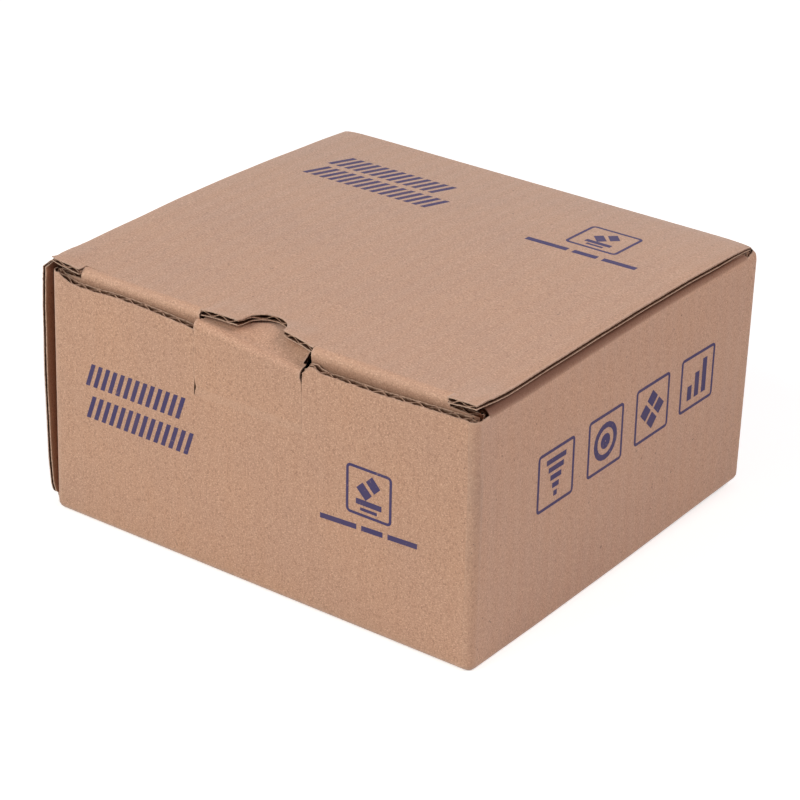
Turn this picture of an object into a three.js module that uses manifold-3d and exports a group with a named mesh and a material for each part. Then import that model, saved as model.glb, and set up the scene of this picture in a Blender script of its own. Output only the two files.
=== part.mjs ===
// A closed carton of single-wall corrugated board, with a tuck-in lid and a lock tongue.
// Millimetres, +Z up. The front wall faces -Y and the origin is under the middle of the carton.
// Every panel is a flat plate of board. The creases between panels are round beads of
// crushed board on the fold line, so that a panel turns about the middle of its bead.

import * as THREE from 'three';
import { mergeVertices } from 'three/addons/utils/BufferGeometryUtils.js';
import Module from 'manifold-3d';

const wasm = await Module();
wasm.setup();

// Carton
const frontWidth = 160;        // outside width of the front wall and of the lid
const cartonDepth = 148.4;     // outside, front wall to rear wall
const cartonHeight = 84.5;     // floor to the top of the lid
const board = 2.2;             // thickness of the board
const seam = 0.3;              // gap between pieces that meet
const cornerInnerRadius = 0.6; // inside radius of the four standing corners
const cornerSteps = 6;         // facets round a standing corner
const beadSides = 16;          // facets round a crease bead

// Lid
const lidDrop = 4.9;           // lid top down to the raw top edge of the front wall
const lidEarLength = 11.4;     // uncreased length at each end of the lid's front edge
const lidEarFront = 0.6;       // ear edge behind the face of the front wall
const thumbNotchWidth = 14.5;
const thumbNotchDepth = 6.8;
const thumbNotchOffset = -0.7; // middle of the notch from the middle of the lid

// Tuck flaps
const tuckLength = 22;         // fold line to free edge
const tuckSetback = 3;         // fold line behind the face of the front wall
const tuckLean = 10;           // degrees past square, so that the flaps slide in freely
const tuckSideGap = 1.3;       // flap end to the wall beside it
const tuckTaper = 4;           // how much narrower the free edge is at each outer end
const tuckCornerRadius = 3;
const tuckShoulderDrop = 2.9;  // fold line to the raw shoulder under a lid ear
const tuckSlotLeft = 21.9;     // slot between the flaps, left of the middle
const tuckSlotRight = 19.9;    // and right of the middle

// Lock tongue on the front wall
const tongueWidth = 40.4;
const tongueOffset = -2.2;     // middle of the tongue from the middle of the front wall
const tongueSlit = 0.4;        // width of the slit on each side
const tongueTopDrop = 4.4;     // lid top down to the upper fold line
const tongueLength = 21.2;     // upper fold line to lower fold line
const tongueFoldReach = 1.8;   // upper fold line to the plates, which fold past square
const tipLength = 13.6;        // upper fold line to the free edge under the lid
const tipNarrowing = 1.2;      // how much narrower the tip is on each side
const tipCornerRadius = 4;

// Dust flaps
const dustLength = 50;         // fold line to free edge
const dustHeadroom = 0.4;      // top of the flap to the underside of the lid
const dustFrontSetback = 12.2; // front edge behind the face of the front wall
const dustFrontTaper = 3;
const dustRearSetback = 12.2;  // rear edge ahead of the face of the rear wall
const dustRearTaper = 32;
const dustCornerRadius = 5;
const dustEarReach = 3.4;      // fold line to where the left flap clears the wall's raw end
const creaseFrontStart = 6.7;  // right dust crease starts this far behind the front face
const creaseRearEnd = 6.2;     // and both stop this far ahead of the rear face

// Left wall and the glued lap
const lapGap = 0.5;            // glue flap to left wall
const glueFlapWidth = 25;
const glueFlapTaper = 3;
const glueFlapLift = 6;        // floor to the lower edge of the glue flap
const glueFlapTopDrop = 4.6;   // wall top down to the upper edge of the glue flap
const glueWidth = 12;
const glueFilm = 0.3;
const glueInset = 5;
const flare = 1.5;             // how far the free front edge of the left wall stands out
const flareLength = 24;        // length of the stretch that stands out
const leftEarTopDrop = 1.4;    // lid top to the top of the raw front end of the left wall
const leftCornerChamfer = 5;
const rightEarTopDrop = 3.4;   // lid top to the raw ends of the right wall

// Bottom flaps, which overlap in three layers
const rampRun = 10.5;          // length over which a flap climbs one layer
const bottomFrontInset = 14.5; // end of the front flap to the side wall
const bottomFrontReach = 60;   // front face to the free edge of the front flap
const lockTabWidth = 40;
const lockTabRampRun = 24;     // length over which the tab climbs through the recess
const lockTabLap = 19.6;       // how far the tab lies on the rear flap
const bottomSideReach = 54;    // side face to the free edge of a side flap
const bottomSideFrontSetback = 6.2;
const bottomSideFrontTaper = 6;
const bottomSideRearSetback = 20.2;
const bottomSideRearTaper = 40;
const bottomRearInset = 6;     // end of the rear flap to the side wall
const bottomRearTaper = 14;
const bottomRearStandOff = 4.4; // free edge of the front flap to that of the rear flap
const recessWidth = 52;        // recess of the rear flap, which the lock tab passes
const recessClearance = 10.8;  // top of the lock tab's ramp to the end of the recess

const degrees = Math.PI / 180;
const overrun = 5;             // how far a cutting body runs past what it cuts

// Places worked out from the sizes above
const beadRadius = board / 2;
const beadReach = beadRadius + seam;              // fold line to the edge of a panel
const cornerRadius = cornerInnerRadius + board;
const frontFace = -cartonDepth / 2;
const rearFace = cartonDepth / 2;
const rightFace = frontWidth / 2;
const frontLeftEdge = -frontWidth / 2;            // left edge of the front wall
const leftFace = frontLeftEdge - lapGap - board;  // outside of the left wall, where straight
const leftMost = leftFace - flare;
const lidUnder = cartonHeight - board;
const lidFold = cartonHeight - beadRadius;        // height of the lid's two fold lines
const frontTop = cartonHeight - lidDrop;
const wallBottom = beadRadius + beadReach;
const dustFold = lidUnder - dustHeadroom - beadRadius;
const sideTop = dustFold - beadReach;
const rearFoldY = rearFace - beadRadius;
const tuckFoldY = frontFace + tuckSetback;
const tongueTopFold = cartonHeight - tongueTopDrop;
const tongueBase = tongueTopFold - tongueLength;
const tongueLeft = tongueOffset - tongueWidth / 2;
const tongueRight = tongueOffset + tongueWidth / 2;
const creaseLength = frontWidth - 2 * lidEarLength;
const sideCreaseRear = rearFace - creaseRearEnd;
const flareStart = frontFace + flareLength;
const layer = board + seam;                       // rise from one bottom layer to the next
const leftEarTop = cartonHeight - leftEarTopDrop;
const rightEarTop = cartonHeight - rightEarTopDrop;
const bottomFrontEdge = frontFace + bottomFrontReach;
const bottomRearEdge = bottomFrontEdge + bottomRearStandOff;
const recessEnd = bottomFrontEdge - seam + lockTabRampRun + recessClearance;

const kraft = { outside: 0xc8a285, inside: 0xb98f70, edge: 0xbe9a80, crease: 0xd2ad90 };
const glueColour = 0xd9cba6;

const carton = new THREE.Group();
carton.position.x = -(leftMost + rightFace) / 2;

function boardMaterial(colour) {
  return new THREE.MeshStandardMaterial({ color: colour, roughness: 0.9, metalness: 0 });
}

// Adds one named piece to a group and gives its mesh back.
function addPiece(name, geometry, colour, group = carton) {
  const mesh = new THREE.Mesh(geometry, boardMaterial(colour));
  mesh.name = name;
  group.add(mesh);
  return mesh;
}

function shapeOf(points) {
  return new THREE.Shape(points.map(([x, y]) => new THREE.Vector2(x, y)));
}

// An outline pulled straight up by height from its own plane.
function prism(shape, height, curveSegments = cornerSteps) {
  return new THREE.ExtrudeGeometry(shape, {
    depth: height, bevelEnabled: false, steps: 1, curveSegments,
  });
}

// A closed outline whose corners are rounded: each point is [x, y, radius].
function roundedShape(points) {
  const shape = new THREE.Shape();
  const corners = points.map(([x, y, radius = 0]) => ({ at: new THREE.Vector2(x, y), radius }));
  corners.forEach(({ at, radius }, index) => {
    const before = corners[(index + corners.length - 1) % corners.length].at;
    const after = corners[(index + 1) % corners.length].at;
    const start = at.clone().add(before.clone().sub(at).setLength(radius));
    const end = at.clone().add(after.clone().sub(at).setLength(radius));
    if (index === 0) shape.moveTo(start.x, start.y);
    else shape.lineTo(start.x, start.y);
    if (radius > 0) shape.quadraticCurveTo(at.x, at.y, end.x, end.y);
  });
  shape.closePath();
  return shape;
}

// Stands a plate up: its outline's x runs along X and its y up Z, and its outside is at faceY.
function standAlongX(mesh, faceY) {
  mesh.rotation.x = Math.PI / 2;
  mesh.position.y = faceY + board;
  return mesh;
}

// Stands a plate up along Y, with its low-X face at lowX.
function standAlongY(mesh, lowX) {
  mesh.rotation.set(Math.PI / 2, 0, Math.PI / 2, 'ZYX');
  mesh.position.x = lowX;
  return mesh;
}

function toManifold(geometry) {
  const bare = geometry.index ? geometry.toNonIndexed() : geometry.clone();
  bare.deleteAttribute('normal');
  bare.deleteAttribute('uv');
  const merged = mergeVertices(bare);
  return new wasm.Manifold(new wasm.Mesh({
    numProp: 3,
    vertProperties: new Float32Array(merged.attributes.position.array),
    triVerts: new Uint32Array(merged.index.array),
  }));
}

function fromManifold(solid) {
  const mesh = solid.getMesh();
  const geometry = new THREE.BufferGeometry();
  geometry.setAttribute('position', new THREE.BufferAttribute(mesh.vertProperties, mesh.numProp));
  geometry.setIndex(new THREE.BufferAttribute(mesh.triVerts, 1));
  geometry.computeVertexNormals();
  return geometry;
}

// A bead of crushed board on a fold line between two points.
function addCrease(name, from, to, group = carton) {
  const start = new THREE.Vector3(...from);
  const end = new THREE.Vector3(...to);
  const along = end.clone().sub(start);
  const geometry = new THREE.CylinderGeometry(beadRadius, beadRadius, along.length(), beadSides);
  const mesh = addPiece(name, geometry, kraft.crease, group);
  mesh.position.copy(start).lerp(end, 1 / 2);
  mesh.quaternion.setFromUnitVectors(new THREE.Vector3(0, 1, 0), along.normalize());
  return mesh;
}

// A standing corner: a quarter of a ring of board. The ring starts on the side that
// startAngle points to, seen from above, and runs a quarter turn left-handed from there.
function addCorner(name, centreX, centreY, startAngle, low, high) {
  const ring = new THREE.Shape();
  const endAngle = startAngle + Math.PI / 2;
  ring.absarc(0, 0, cornerRadius, startAngle, endAngle, false);
  ring.absarc(0, 0, cornerInnerRadius, endAngle, startAngle, true);
  ring.closePath();
  const mesh = addPiece(name, prism(ring, high - low), kraft.outside);
  mesh.position.set(centreX, centreY, low);
  return mesh;
}

// The front wall has a raw top edge and a cut for the lock tongue.
function buildFrontWall() {
  const left = frontLeftEdge + cornerRadius + seam;
  const right = rightFace - cornerRadius - seam;
  const cutLeft = tongueLeft - tongueSlit;
  const cutRight = tongueRight + tongueSlit;
  const cutBottom = tongueBase - beadReach;
  const outline = shapeOf([
    [left, wallBottom], [right, wallBottom], [right, frontTop], [cutRight, frontTop],
    [cutRight, cutBottom], [cutLeft, cutBottom], [cutLeft, frontTop], [left, frontTop],
  ]);
  standAlongX(addPiece('front_wall', prism(outline, board), kraft.outside), frontFace);
}

function buildRearWall() {
  const left = leftFace + cornerRadius + seam;
  const right = rightFace - cornerRadius - seam;
  const top = lidFold - beadReach;
  const outline = shapeOf([
    [left, wallBottom], [right, wallBottom], [right, top], [left, top],
  ]);
  standAlongX(addPiece('rear_wall', prism(outline, board), kraft.outside), rearFace - board);
}

// The right wall is lower where its dust flap folds over, and raw at both ends.
function buildRightWall() {
  const front = frontFace + cornerRadius + seam;
  const rear = rearFace - cornerRadius - seam;
  const creaseFront = frontFace + creaseFrontStart - seam;
  const creaseRear = sideCreaseRear + seam;
  const outline = shapeOf([
    [front, wallBottom], [rear, wallBottom], [rear, rightEarTop], [creaseRear, rightEarTop],
    [creaseRear, sideTop], [creaseFront, sideTop], [creaseFront, rightEarTop],
    [front, rightEarTop],
  ]);
  standAlongY(addPiece('right_wall', prism(outline, board), kraft.outside), rightFace - board);
}

// The left wall laps over the glue flap, and its free front edge stands out in a curve.
function buildLeftWall() {
  const rear = rearFace - cornerRadius - seam;
  const inner = leftFace + board;
  const curveMiddle = flareStart - flareLength / 2;
  const plan = new THREE.Shape();
  plan.moveTo(leftFace, rear);
  plan.lineTo(leftFace, flareStart);
  plan.quadraticCurveTo(leftFace, curveMiddle, leftMost, frontFace);
  plan.lineTo(leftMost + board, frontFace);
  plan.quadraticCurveTo(inner, curveMiddle, inner, flareStart);
  plan.lineTo(inner, rear);
  plan.closePath();
  const standing = prism(plan, leftEarTop - wallBottom).translate(0, 0, wallBottom);

  // What is cut away: the top above the dust crease, the raised rear end and a lower corner.
  const creaseRear = sideCreaseRear + seam;
  const profile = shapeOf([
    [flareStart, sideTop], [creaseRear, sideTop], [creaseRear, rightEarTop],
    [rear + overrun, rightEarTop], [rear + overrun, leftEarTop + overrun],
    [flareStart, leftEarTop + overrun],
  ]);
  const corner = shapeOf([
    [frontFace - overrun, wallBottom - overrun],
    [frontFace + leftCornerChamfer + overrun, wallBottom - overrun],
    [frontFace - overrun, wallBottom + leftCornerChamfer + overrun],
  ]);
  const cutDepth = flare + board + 2 * overrun;
  const turn = new THREE.Matrix4().makeBasis(
    new THREE.Vector3(0, 1, 0), new THREE.Vector3(0, 0, 1), new THREE.Vector3(1, 0, 0));
  turn.setPosition(leftMost - overrun, 0, 0);
  const cuts = [profile, corner].map((shape) => toManifold(prism(shape, cutDepth).applyMatrix4(turn)));
  const wall = cuts.reduce((solid, cut) => solid.subtract(cut), toManifold(standing));
  addPiece('left_wall', fromManifold(wall), kraft.outside);
}

// The flap inside the left wall that closes the sleeve, and the film of glue on it.
function buildGluedLap() {
  const front = frontFace + cornerRadius + seam;
  const rear = frontFace + glueFlapWidth;
  const low = glueFlapLift;
  const high = frontTop - glueFlapTopDrop;
  const outline = shapeOf([
    [front, low], [rear, low + glueFlapTaper], [rear, high - glueFlapTaper], [front, high],
  ]);
  standAlongY(addPiece('glue_flap', prism(outline, board), kraft.inside), frontLeftEdge);

  const filmRear = rear - (lapGap - glueFilm);
  const filmFront = filmRear - glueWidth;
  const filmLow = low + glueInset;
  const filmHigh = high - glueInset;
  const film = shapeOf([
    [filmFront, filmLow], [filmRear, filmLow], [filmRear, filmHigh], [filmFront, filmHigh],
  ]);
  const filmX = frontLeftEdge - lapGap + (lapGap - glueFilm) / 2;
  standAlongY(addPiece('lap_glue', prism(film, glueFilm), glueColour), filmX);
}

function buildCorners() {
  const frontY = frontFace + cornerRadius;
  const rearY = rearFace - cornerRadius;
  const rightX = rightFace - cornerRadius;
  const quarter = Math.PI / 2;
  addCorner('corner_front_right', rightX, frontY, -quarter, wallBottom, rightEarTop);
  addCorner('corner_rear_right', rightX, rearY, 0, wallBottom, rightEarTop);
  addCorner('corner_rear_left', leftFace + cornerRadius, rearY, quarter, wallBottom, rightEarTop);
  addCorner('corner_front_left', frontLeftEdge + cornerRadius, frontY, 2 * quarter,
    glueFlapLift, frontTop);
}

// The lid's front edge is raw at its two ears and in the slot, with a notch for a thumb.
function buildLidPanel() {
  const foldEdge = tuckFoldY + beadReach;
  const earEdge = frontFace + lidEarFront;
  const rearEdge = rearFoldY - beadReach;
  const half = frontWidth / 2;
  const creaseEnd = half - lidEarLength + seam;
  const notchHalf = thumbNotchWidth / 2;
  const notchShares = { shoulder: 0.12, crown: 0.75 };
  const panel = new THREE.Shape();
  panel.moveTo(-half, rearEdge);
  panel.lineTo(-half, earEdge);
  panel.lineTo(-creaseEnd, earEdge);
  panel.lineTo(-creaseEnd, foldEdge);
  panel.lineTo(thumbNotchOffset - notchHalf, foldEdge);
  panel.bezierCurveTo(
    thumbNotchOffset - notchHalf * (1 - notchShares.shoulder),
    foldEdge + thumbNotchDepth * notchShares.crown,
    thumbNotchOffset - notchHalf * notchShares.crown, foldEdge + thumbNotchDepth,
    thumbNotchOffset, foldEdge + thumbNotchDepth);
  panel.bezierCurveTo(
    thumbNotchOffset + notchHalf * notchShares.crown, foldEdge + thumbNotchDepth,
    thumbNotchOffset + notchHalf * (1 - notchShares.shoulder),
    foldEdge + thumbNotchDepth * notchShares.crown,
    thumbNotchOffset + notchHalf, foldEdge);
  panel.lineTo(creaseEnd, foldEdge);
  panel.lineTo(creaseEnd, earEdge);
  panel.lineTo(half, earEdge);
  panel.lineTo(half, rearEdge);
  panel.closePath();
  addPiece('lid_panel', prism(panel, board), kraft.outside).position.z = lidUnder;
}

// A tuck flap hangs from the lid's front fold beside the slot. It is drawn hanging straight
// down from the fold line, with its low end towards the slot, and then leaned inwards.
function buildTuckFlap(name, slotEdge, side) {
  const hanger = new THREE.Group();
  hanger.position.set(0, tuckFoldY, lidFold);
  hanger.rotation.x = tuckLean * degrees;
  carton.add(hanger);

  const outer = frontWidth / 2 - board - tuckSideGap;
  const creaseEnd = creaseLength / 2;
  const outline = roundedShape([
    [side * slotEdge, -beadReach],
    [side * creaseEnd, -beadReach],
    [side * creaseEnd, -tuckShoulderDrop],
    [side * outer, -tuckShoulderDrop],
    [side * (outer - tuckTaper), -tuckLength, tuckCornerRadius],
    [side * slotEdge, -tuckLength, tuckCornerRadius],
  ]);
  const flap = addPiece(`tuck_flap_${name}`, prism(outline, board), kraft.outside, hanger);
  standAlongX(flap, -board / 2);
  addCrease(`crease_tuck_${name}`, [side * slotEdge, 0, 0], [side * creaseEnd, 0, 0], hanger);
}

// The tongue stands in the front wall's cut. Its tip is folded back under the lid.
function buildLockTongue() {
  const half = tongueWidth / 2;
  const low = tongueBase + beadReach;
  const high = tongueTopFold - tongueFoldReach;
  const tongue = shapeOf([
    [tongueLeft, low], [tongueRight, low], [tongueRight, high], [tongueLeft, high],
  ]);
  standAlongX(addPiece('lock_tongue', prism(tongue, board), kraft.outside), frontFace);

  const foldY = frontFace + beadRadius;
  addCrease('crease_tongue_base', [tongueLeft, foldY, tongueBase], [tongueRight, foldY, tongueBase]);
  addCrease('crease_tongue_top', [tongueLeft + tipNarrowing, foldY, tongueTopFold],
    [tongueRight - tipNarrowing, foldY, tongueTopFold]);

  const tip = roundedShape([
    [-half + tipNarrowing, tongueFoldReach],
    [half - tipNarrowing, tongueFoldReach],
    [half - tipNarrowing * 2, tipLength, tipCornerRadius],
    [-half + tipNarrowing * 2, tipLength, tipCornerRadius],
  ]);
  const mesh = addPiece('tongue_tip', prism(tip, board), kraft.outside);
  mesh.position.set(tongueOffset, foldY, tongueTopFold - beadRadius);
}

// A dust flap folds in from the top of a side wall. Side is +1 on the right, -1 on the left.
// Where its crease starts behind its front edge, the flap is stepped round the wall's raw end.
function buildDustFlap(name, wallFace, side, creaseFront) {
  const foldX = wallFace - side * beadRadius;
  const front = frontFace + dustFrontSetback;
  const rear = rearFace - dustRearSetback;
  const nearFold = foldX - side * beadReach;
  const step = foldX - side * dustEarReach;
  const start = creaseFront > front
    ? [[nearFold, creaseFront], [step, creaseFront], [step, front]]
    : [[nearFold, front]];
  const outline = roundedShape([
    ...start,
    [foldX - side * dustLength, front + dustFrontTaper, dustCornerRadius],
    [foldX - side * dustLength, rear - dustRearTaper, dustCornerRadius],
    [nearFold, rear],
  ]);
  const mesh = addPiece(`dust_flap_${name}`, prism(outline, board), kraft.outside);
  mesh.position.z = dustFold - beadRadius;
  addCrease(`crease_dust_${name}`, [foldX, creaseFront, dustFold], [foldX, sideCreaseRear, dustFold]);
}

function buildLidCrease() {
  const end = frontWidth / 2;
  addCrease('crease_lid_rear', [-end, rearFoldY, lidFold], [end, rearFoldY, lidFold]);
}

// The side view of a bottom flap: distances are from its fold line, and it climbs to
// its layer over the ramp and then runs level.
function rampedProfile(rise, run, reach, start = beadReach, base = 0) {
  const rampEnd = start + run;
  return shapeOf([
    [start, base], [rampEnd, base + rise], [reach, base + rise],
    [reach, base + rise + board], [rampEnd, base + rise + board], [start, base + board],
  ]);
}

// Pulls a side view along X, standing on a fold line at foldY. Towards is +1 where the
// flap runs to +Y, and -1 where it runs to -Y.
function alongX(profile, halfLength, foldY, towards) {
  const turn = new THREE.Matrix4().makeBasis(
    new THREE.Vector3(0, towards, 0), new THREE.Vector3(0, 0, 1),
    new THREE.Vector3(towards, 0, 0));
  turn.setPosition(-towards * halfLength, foldY, 0);
  return toManifold(prism(profile, 2 * halfLength).applyMatrix4(turn));
}

// Pulls a side view along Y, from a fold line at foldX.
function alongY(profile, halfLength, foldX, towards) {
  const turn = new THREE.Matrix4().makeBasis(
    new THREE.Vector3(towards, 0, 0), new THREE.Vector3(0, 0, 1),
    new THREE.Vector3(0, -towards, 0));
  turn.setPosition(foldX, towards * halfLength, 0);
  return toManifold(prism(profile, 2 * halfLength).applyMatrix4(turn));
}

function planCutter(points) {
  const height = cartonHeight / 2;
  return toManifold(prism(roundedShape(points), height).translate(0, 0, -overrun));
}

// The front bottom flap is the outermost layer. Its lock tab climbs through the recess
// of the rear flap and lies on it.
function buildBottomFrontFlap() {
  const half = rightFace - bottomFrontInset;
  const foldY = frontFace + beadRadius;
  const reach = bottomFrontEdge - foldY;
  const plate = alongX(rampedProfile(0, rampRun, reach), half, foldY, 1);
  const tabReach = recessEnd + lockTabLap - foldY;
  const tabStart = reach - seam;
  const tab = alongX(
    rampedProfile(3 * layer, lockTabRampRun, tabReach, tabStart), lockTabWidth / 2, foldY, 1);
  addPiece('bottom_flap_front', fromManifold(plate.add(tab)), kraft.outside);
  addCrease('crease_bottom_front', [frontLeftEdge + cornerRadius + seam, foldY, beadRadius],
    [rightFace - cornerRadius - seam, foldY, beadRadius]);
}

// The side bottom flaps are the middle layer. Their rear edges run diagonally.
function buildBottomSideFlap(name, wallFace, side, creaseFront) {
  const foldX = wallFace - side * beadRadius;
  const reach = bottomSideReach - beadRadius;
  const front = frontFace + bottomSideFrontSetback;
  const rear = rearFace - bottomSideRearSetback;
  const body = alongY(rampedProfile(layer, rampRun, reach), cartonDepth / 2, foldX, -side);
  const inner = foldX - side * (reach + overrun);
  const outer = foldX - side * beadReach / 2;
  const firm = Math.max(front, creaseFront);
  const cutter = planCutter([
    [outer, firm], [outer, rear],
    [foldX - side * reach, rear - bottomSideRearTaper],
    [inner, rear - bottomSideRearTaper],
    [inner, front + bottomSideFrontTaper],
    [foldX - side * reach, front + bottomSideFrontTaper],
    [foldX - side * (rampRun + beadReach), front + (firm - front) / 2],
  ]);
  addPiece(`bottom_flap_${name}`, fromManifold(body.intersect(cutter)), kraft.outside);
  addCrease(`crease_bottom_${name}`, [foldX, creaseFront, beadRadius],
    [foldX, rearFace - cornerRadius - seam, beadRadius]);
}

// The rear bottom flap is the innermost layer, with the recess for the lock tab.
function buildBottomRearFlap() {
  const half = rightFace - bottomRearInset;
  const foldY = rearFace - beadRadius;
  const reach = foldY - bottomRearEdge;
  const body = alongX(rampedProfile(2 * layer, rampRun + board, reach), half, foldY, -1);
  const freeEdge = bottomRearEdge;
  const recess = recessWidth / 2;
  const cutter = planCutter([
    [-half, rearFace], [-half, foldY - rampRun], [-half + bottomRearTaper, freeEdge - overrun],
    [-recess, freeEdge - overrun], [-recess, recessEnd, tipCornerRadius],
    [recess, recessEnd, tipCornerRadius], [recess, freeEdge - overrun],
    [half - bottomRearTaper, freeEdge - overrun], [half, foldY - rampRun], [half, rearFace],
  ]);
  addPiece('bottom_flap_rear', fromManifold(body.intersect(cutter)), kraft.outside);
  addCrease('crease_bottom_rear', [leftFace + cornerRadius + seam, foldY, beadRadius],
    [rightFace - cornerRadius - seam, foldY, beadRadius]);
}

const leftCreaseFront = flareStart + seam;
const rightCreaseFront = frontFace + creaseFrontStart;
const rightBottomFront = frontFace + cornerRadius + seam;

buildFrontWall();
buildRightWall();
buildRearWall();
buildLeftWall();
buildGluedLap();
buildCorners();
buildLidPanel();
buildLidCrease();
buildTuckFlap('left', tuckSlotLeft, -1);
buildTuckFlap('right', tuckSlotRight, 1);
buildLockTongue();
buildDustFlap('left', leftFace, -1, leftCreaseFront);
buildDustFlap('right', rightFace, 1, rightCreaseFront);
buildBottomFrontFlap();
buildBottomSideFlap('left', leftFace, -1, leftCreaseFront);
buildBottomSideFlap('right', rightFace, 1, rightBottomFront);
buildBottomRearFlap();

export default carton;
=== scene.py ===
"""Dressed model of a tuck-top carton of corrugated kraft board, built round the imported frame."""

import logging
import math
from collections.abc import Callable, Sequence
from dataclasses import dataclass, field
from enum import Enum, Flag, auto

import bmesh
import bpy
import numpy as np
from mathutils import Matrix, Vector


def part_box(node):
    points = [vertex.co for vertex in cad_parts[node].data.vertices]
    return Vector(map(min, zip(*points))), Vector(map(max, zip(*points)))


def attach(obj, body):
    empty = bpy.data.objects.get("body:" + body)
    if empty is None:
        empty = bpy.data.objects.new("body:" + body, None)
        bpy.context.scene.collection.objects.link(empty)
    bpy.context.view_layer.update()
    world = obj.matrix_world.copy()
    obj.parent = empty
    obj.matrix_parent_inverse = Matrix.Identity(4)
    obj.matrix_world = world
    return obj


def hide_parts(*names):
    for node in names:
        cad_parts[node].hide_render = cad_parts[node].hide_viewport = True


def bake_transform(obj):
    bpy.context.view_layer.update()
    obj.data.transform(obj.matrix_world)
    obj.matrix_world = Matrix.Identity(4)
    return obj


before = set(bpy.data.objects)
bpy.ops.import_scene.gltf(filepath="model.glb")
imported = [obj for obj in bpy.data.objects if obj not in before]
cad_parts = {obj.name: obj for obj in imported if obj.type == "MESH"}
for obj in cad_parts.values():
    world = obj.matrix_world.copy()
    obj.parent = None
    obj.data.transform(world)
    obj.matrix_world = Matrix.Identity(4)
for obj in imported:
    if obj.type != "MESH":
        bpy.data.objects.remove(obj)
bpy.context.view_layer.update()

LOG = logging.getLogger("carton")

Array = np.ndarray
Pair = tuple[float, float]
Triple = tuple[float, float, float]
Place = Callable[[Array, Array, Array], Array]
Ribbon = list[tuple[Pair, Pair]]
Bound = float | Callable[[Array], Array]

MM = 0.001
SHIFT_X = (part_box("lid_panel")[0].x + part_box("lid_panel")[1].x) / 2 / MM

# The carton's outer faces, in mm from the middle of the front wall
FRONT = -74.2
REAR = 74.2
RIGHT = 80.0
LEFT = -82.7
FRONT_LEFT = -80.0
TOP = 84.5

# The board: liner, fluting and liner, and how far a flute's crest bites into a liner
BOARD = 2.2
LINER = 0.31
FLUTE_PITCH = 6.3
FLUTE_WALL = 0.33
FLUTE_BITE = 0.04

# How the board gives way at a cut edge: it is crushed, slanted, torn and worn
CRUSH_REACH = 1.6
MOST_CRUSH = 0.6
OUTER_SHARE_OF_CRUSH = 0.55
BEVEL_REACH = 2.0
TEAR = 0.10
FLUTING_SETBACK = 0.12
WEAR_REACH = 0.3
EDGE_WAVES = ((1.31, 2.3, 1.0), (3.17, 5.1, 0.7), (7.43, 1.7, 0.6), (13.9, 3.9, 0.4))

# The net: rows near a cut edge, and a distance that stands for no cut edge near
FRINGE = np.array([0.0, 0.3, 0.7, 1.3, 2.2, 3.6])
FINE_STEP = 2.0
FRINGE_SHARE = 0.8
FAR = 99.0
LAYER_SEED = 3.1
SHARPEST_SMOOTH = math.radians(38)
QUARTER = math.pi / 2

# The folds: radii on the outer face, the dust flaps' upper face, how far the tuck leans in,
# the middles of the lid's two folds, the rows over a fold's arc and how worn a crease is
FOLD_RADIUS = 2.4
CORNER_RADIUS = 2.8
REAR_RIGHT_RADIUS = 2.2
DUST_TOP = 81.9
TUCK_LEAN = math.radians(10)
CREASE_Y = 71.8
CREASE_FRONT_Y = -69.651
FOLD_STEPS, INNER_STEPS = 11, 8
PALE_CREASE = 0.18

# The lock tongue: its slits, the start and the end of its bend, and its top
TONGUE_LEFT = -22.4
TONGUE_RIGHT = 18.0
TONGUE_FOOT = 57.5
TONGUE_BEND = 60.3
TONGUE_TOP = 81.2

# How far the glued walls are out of true. A pair says where a change starts on an axis, or on
# the axis turned round, and over how many mm it grows to its full size
LEAN_RIGHT, LEAN_BACK = 0.85, 0.6
LEAN_X, LEAN_Y = (30.0, 50.0), (20.0, 54.0)
CHAMFER_SLOPE, CHAMFER_FOOT, CHAMFER_DEPTH = 0.45, 81.5, 2.0
CHAMFER_X, CHAMFER_Y, CHAMFER_REAR = (70.0, 8.0), (66.0, 5.0), (72.2, 1.5)
BOW_X, BOW_Z = (70.0, 7.0), (57.0, 21.0)
LIFT, LIFT_START, LIFT_RUN, LIFT_HEIGHT = 1.5, -40.0, 114.0, 60.0
REAR_LIFT, REAR_LIFT_Y, LIFT_X = 0.9, (0.0, 74.0), (10.0, 70.0)
FRONT_LEFT_X, FRONT_LEFT_Y = (55.0, 22.0), (58.0, 13.0)

# How far the lid is arched, raised at its front and narrowed at its sides, with such pairs
CROWN = 2.05
PEAK_Y, PEAK_SKEW = 10.0, 15.0
CORNER_RISE, CORNER_X, CORNER_Y = 0.95, (66.5, 13.5), (56.0, 16.0)
NOTCH_RISE, NOTCH_MIDDLE, NOTCH_X, NOTCH_Y = 0.4, -1.0, (-20.5, 5.0), (60.0, 8.0)
LEFT_RISE, LEFT_X, LEFT_Y = 0.5, (55.0, 25.0), (30.0, 30.0)
EAR_TIP_RISE, EAR_TIP_X, EAR_TIP_WIDTH, EAR_TIP_Y = 0.5, -80.2, 1.3, (70.0, 3.5)
RIGHT_INSET, EAR_INSET, REAR_INSET, REAR_FOLD_INSET = 0.8, 0.6, 0.9, 1.2
INSET_X, EAR_INSET_Y, REAR_INSET_Y = (60.0, 20.0), (64.0, 9.0), (50.0, 22.0)

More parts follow.
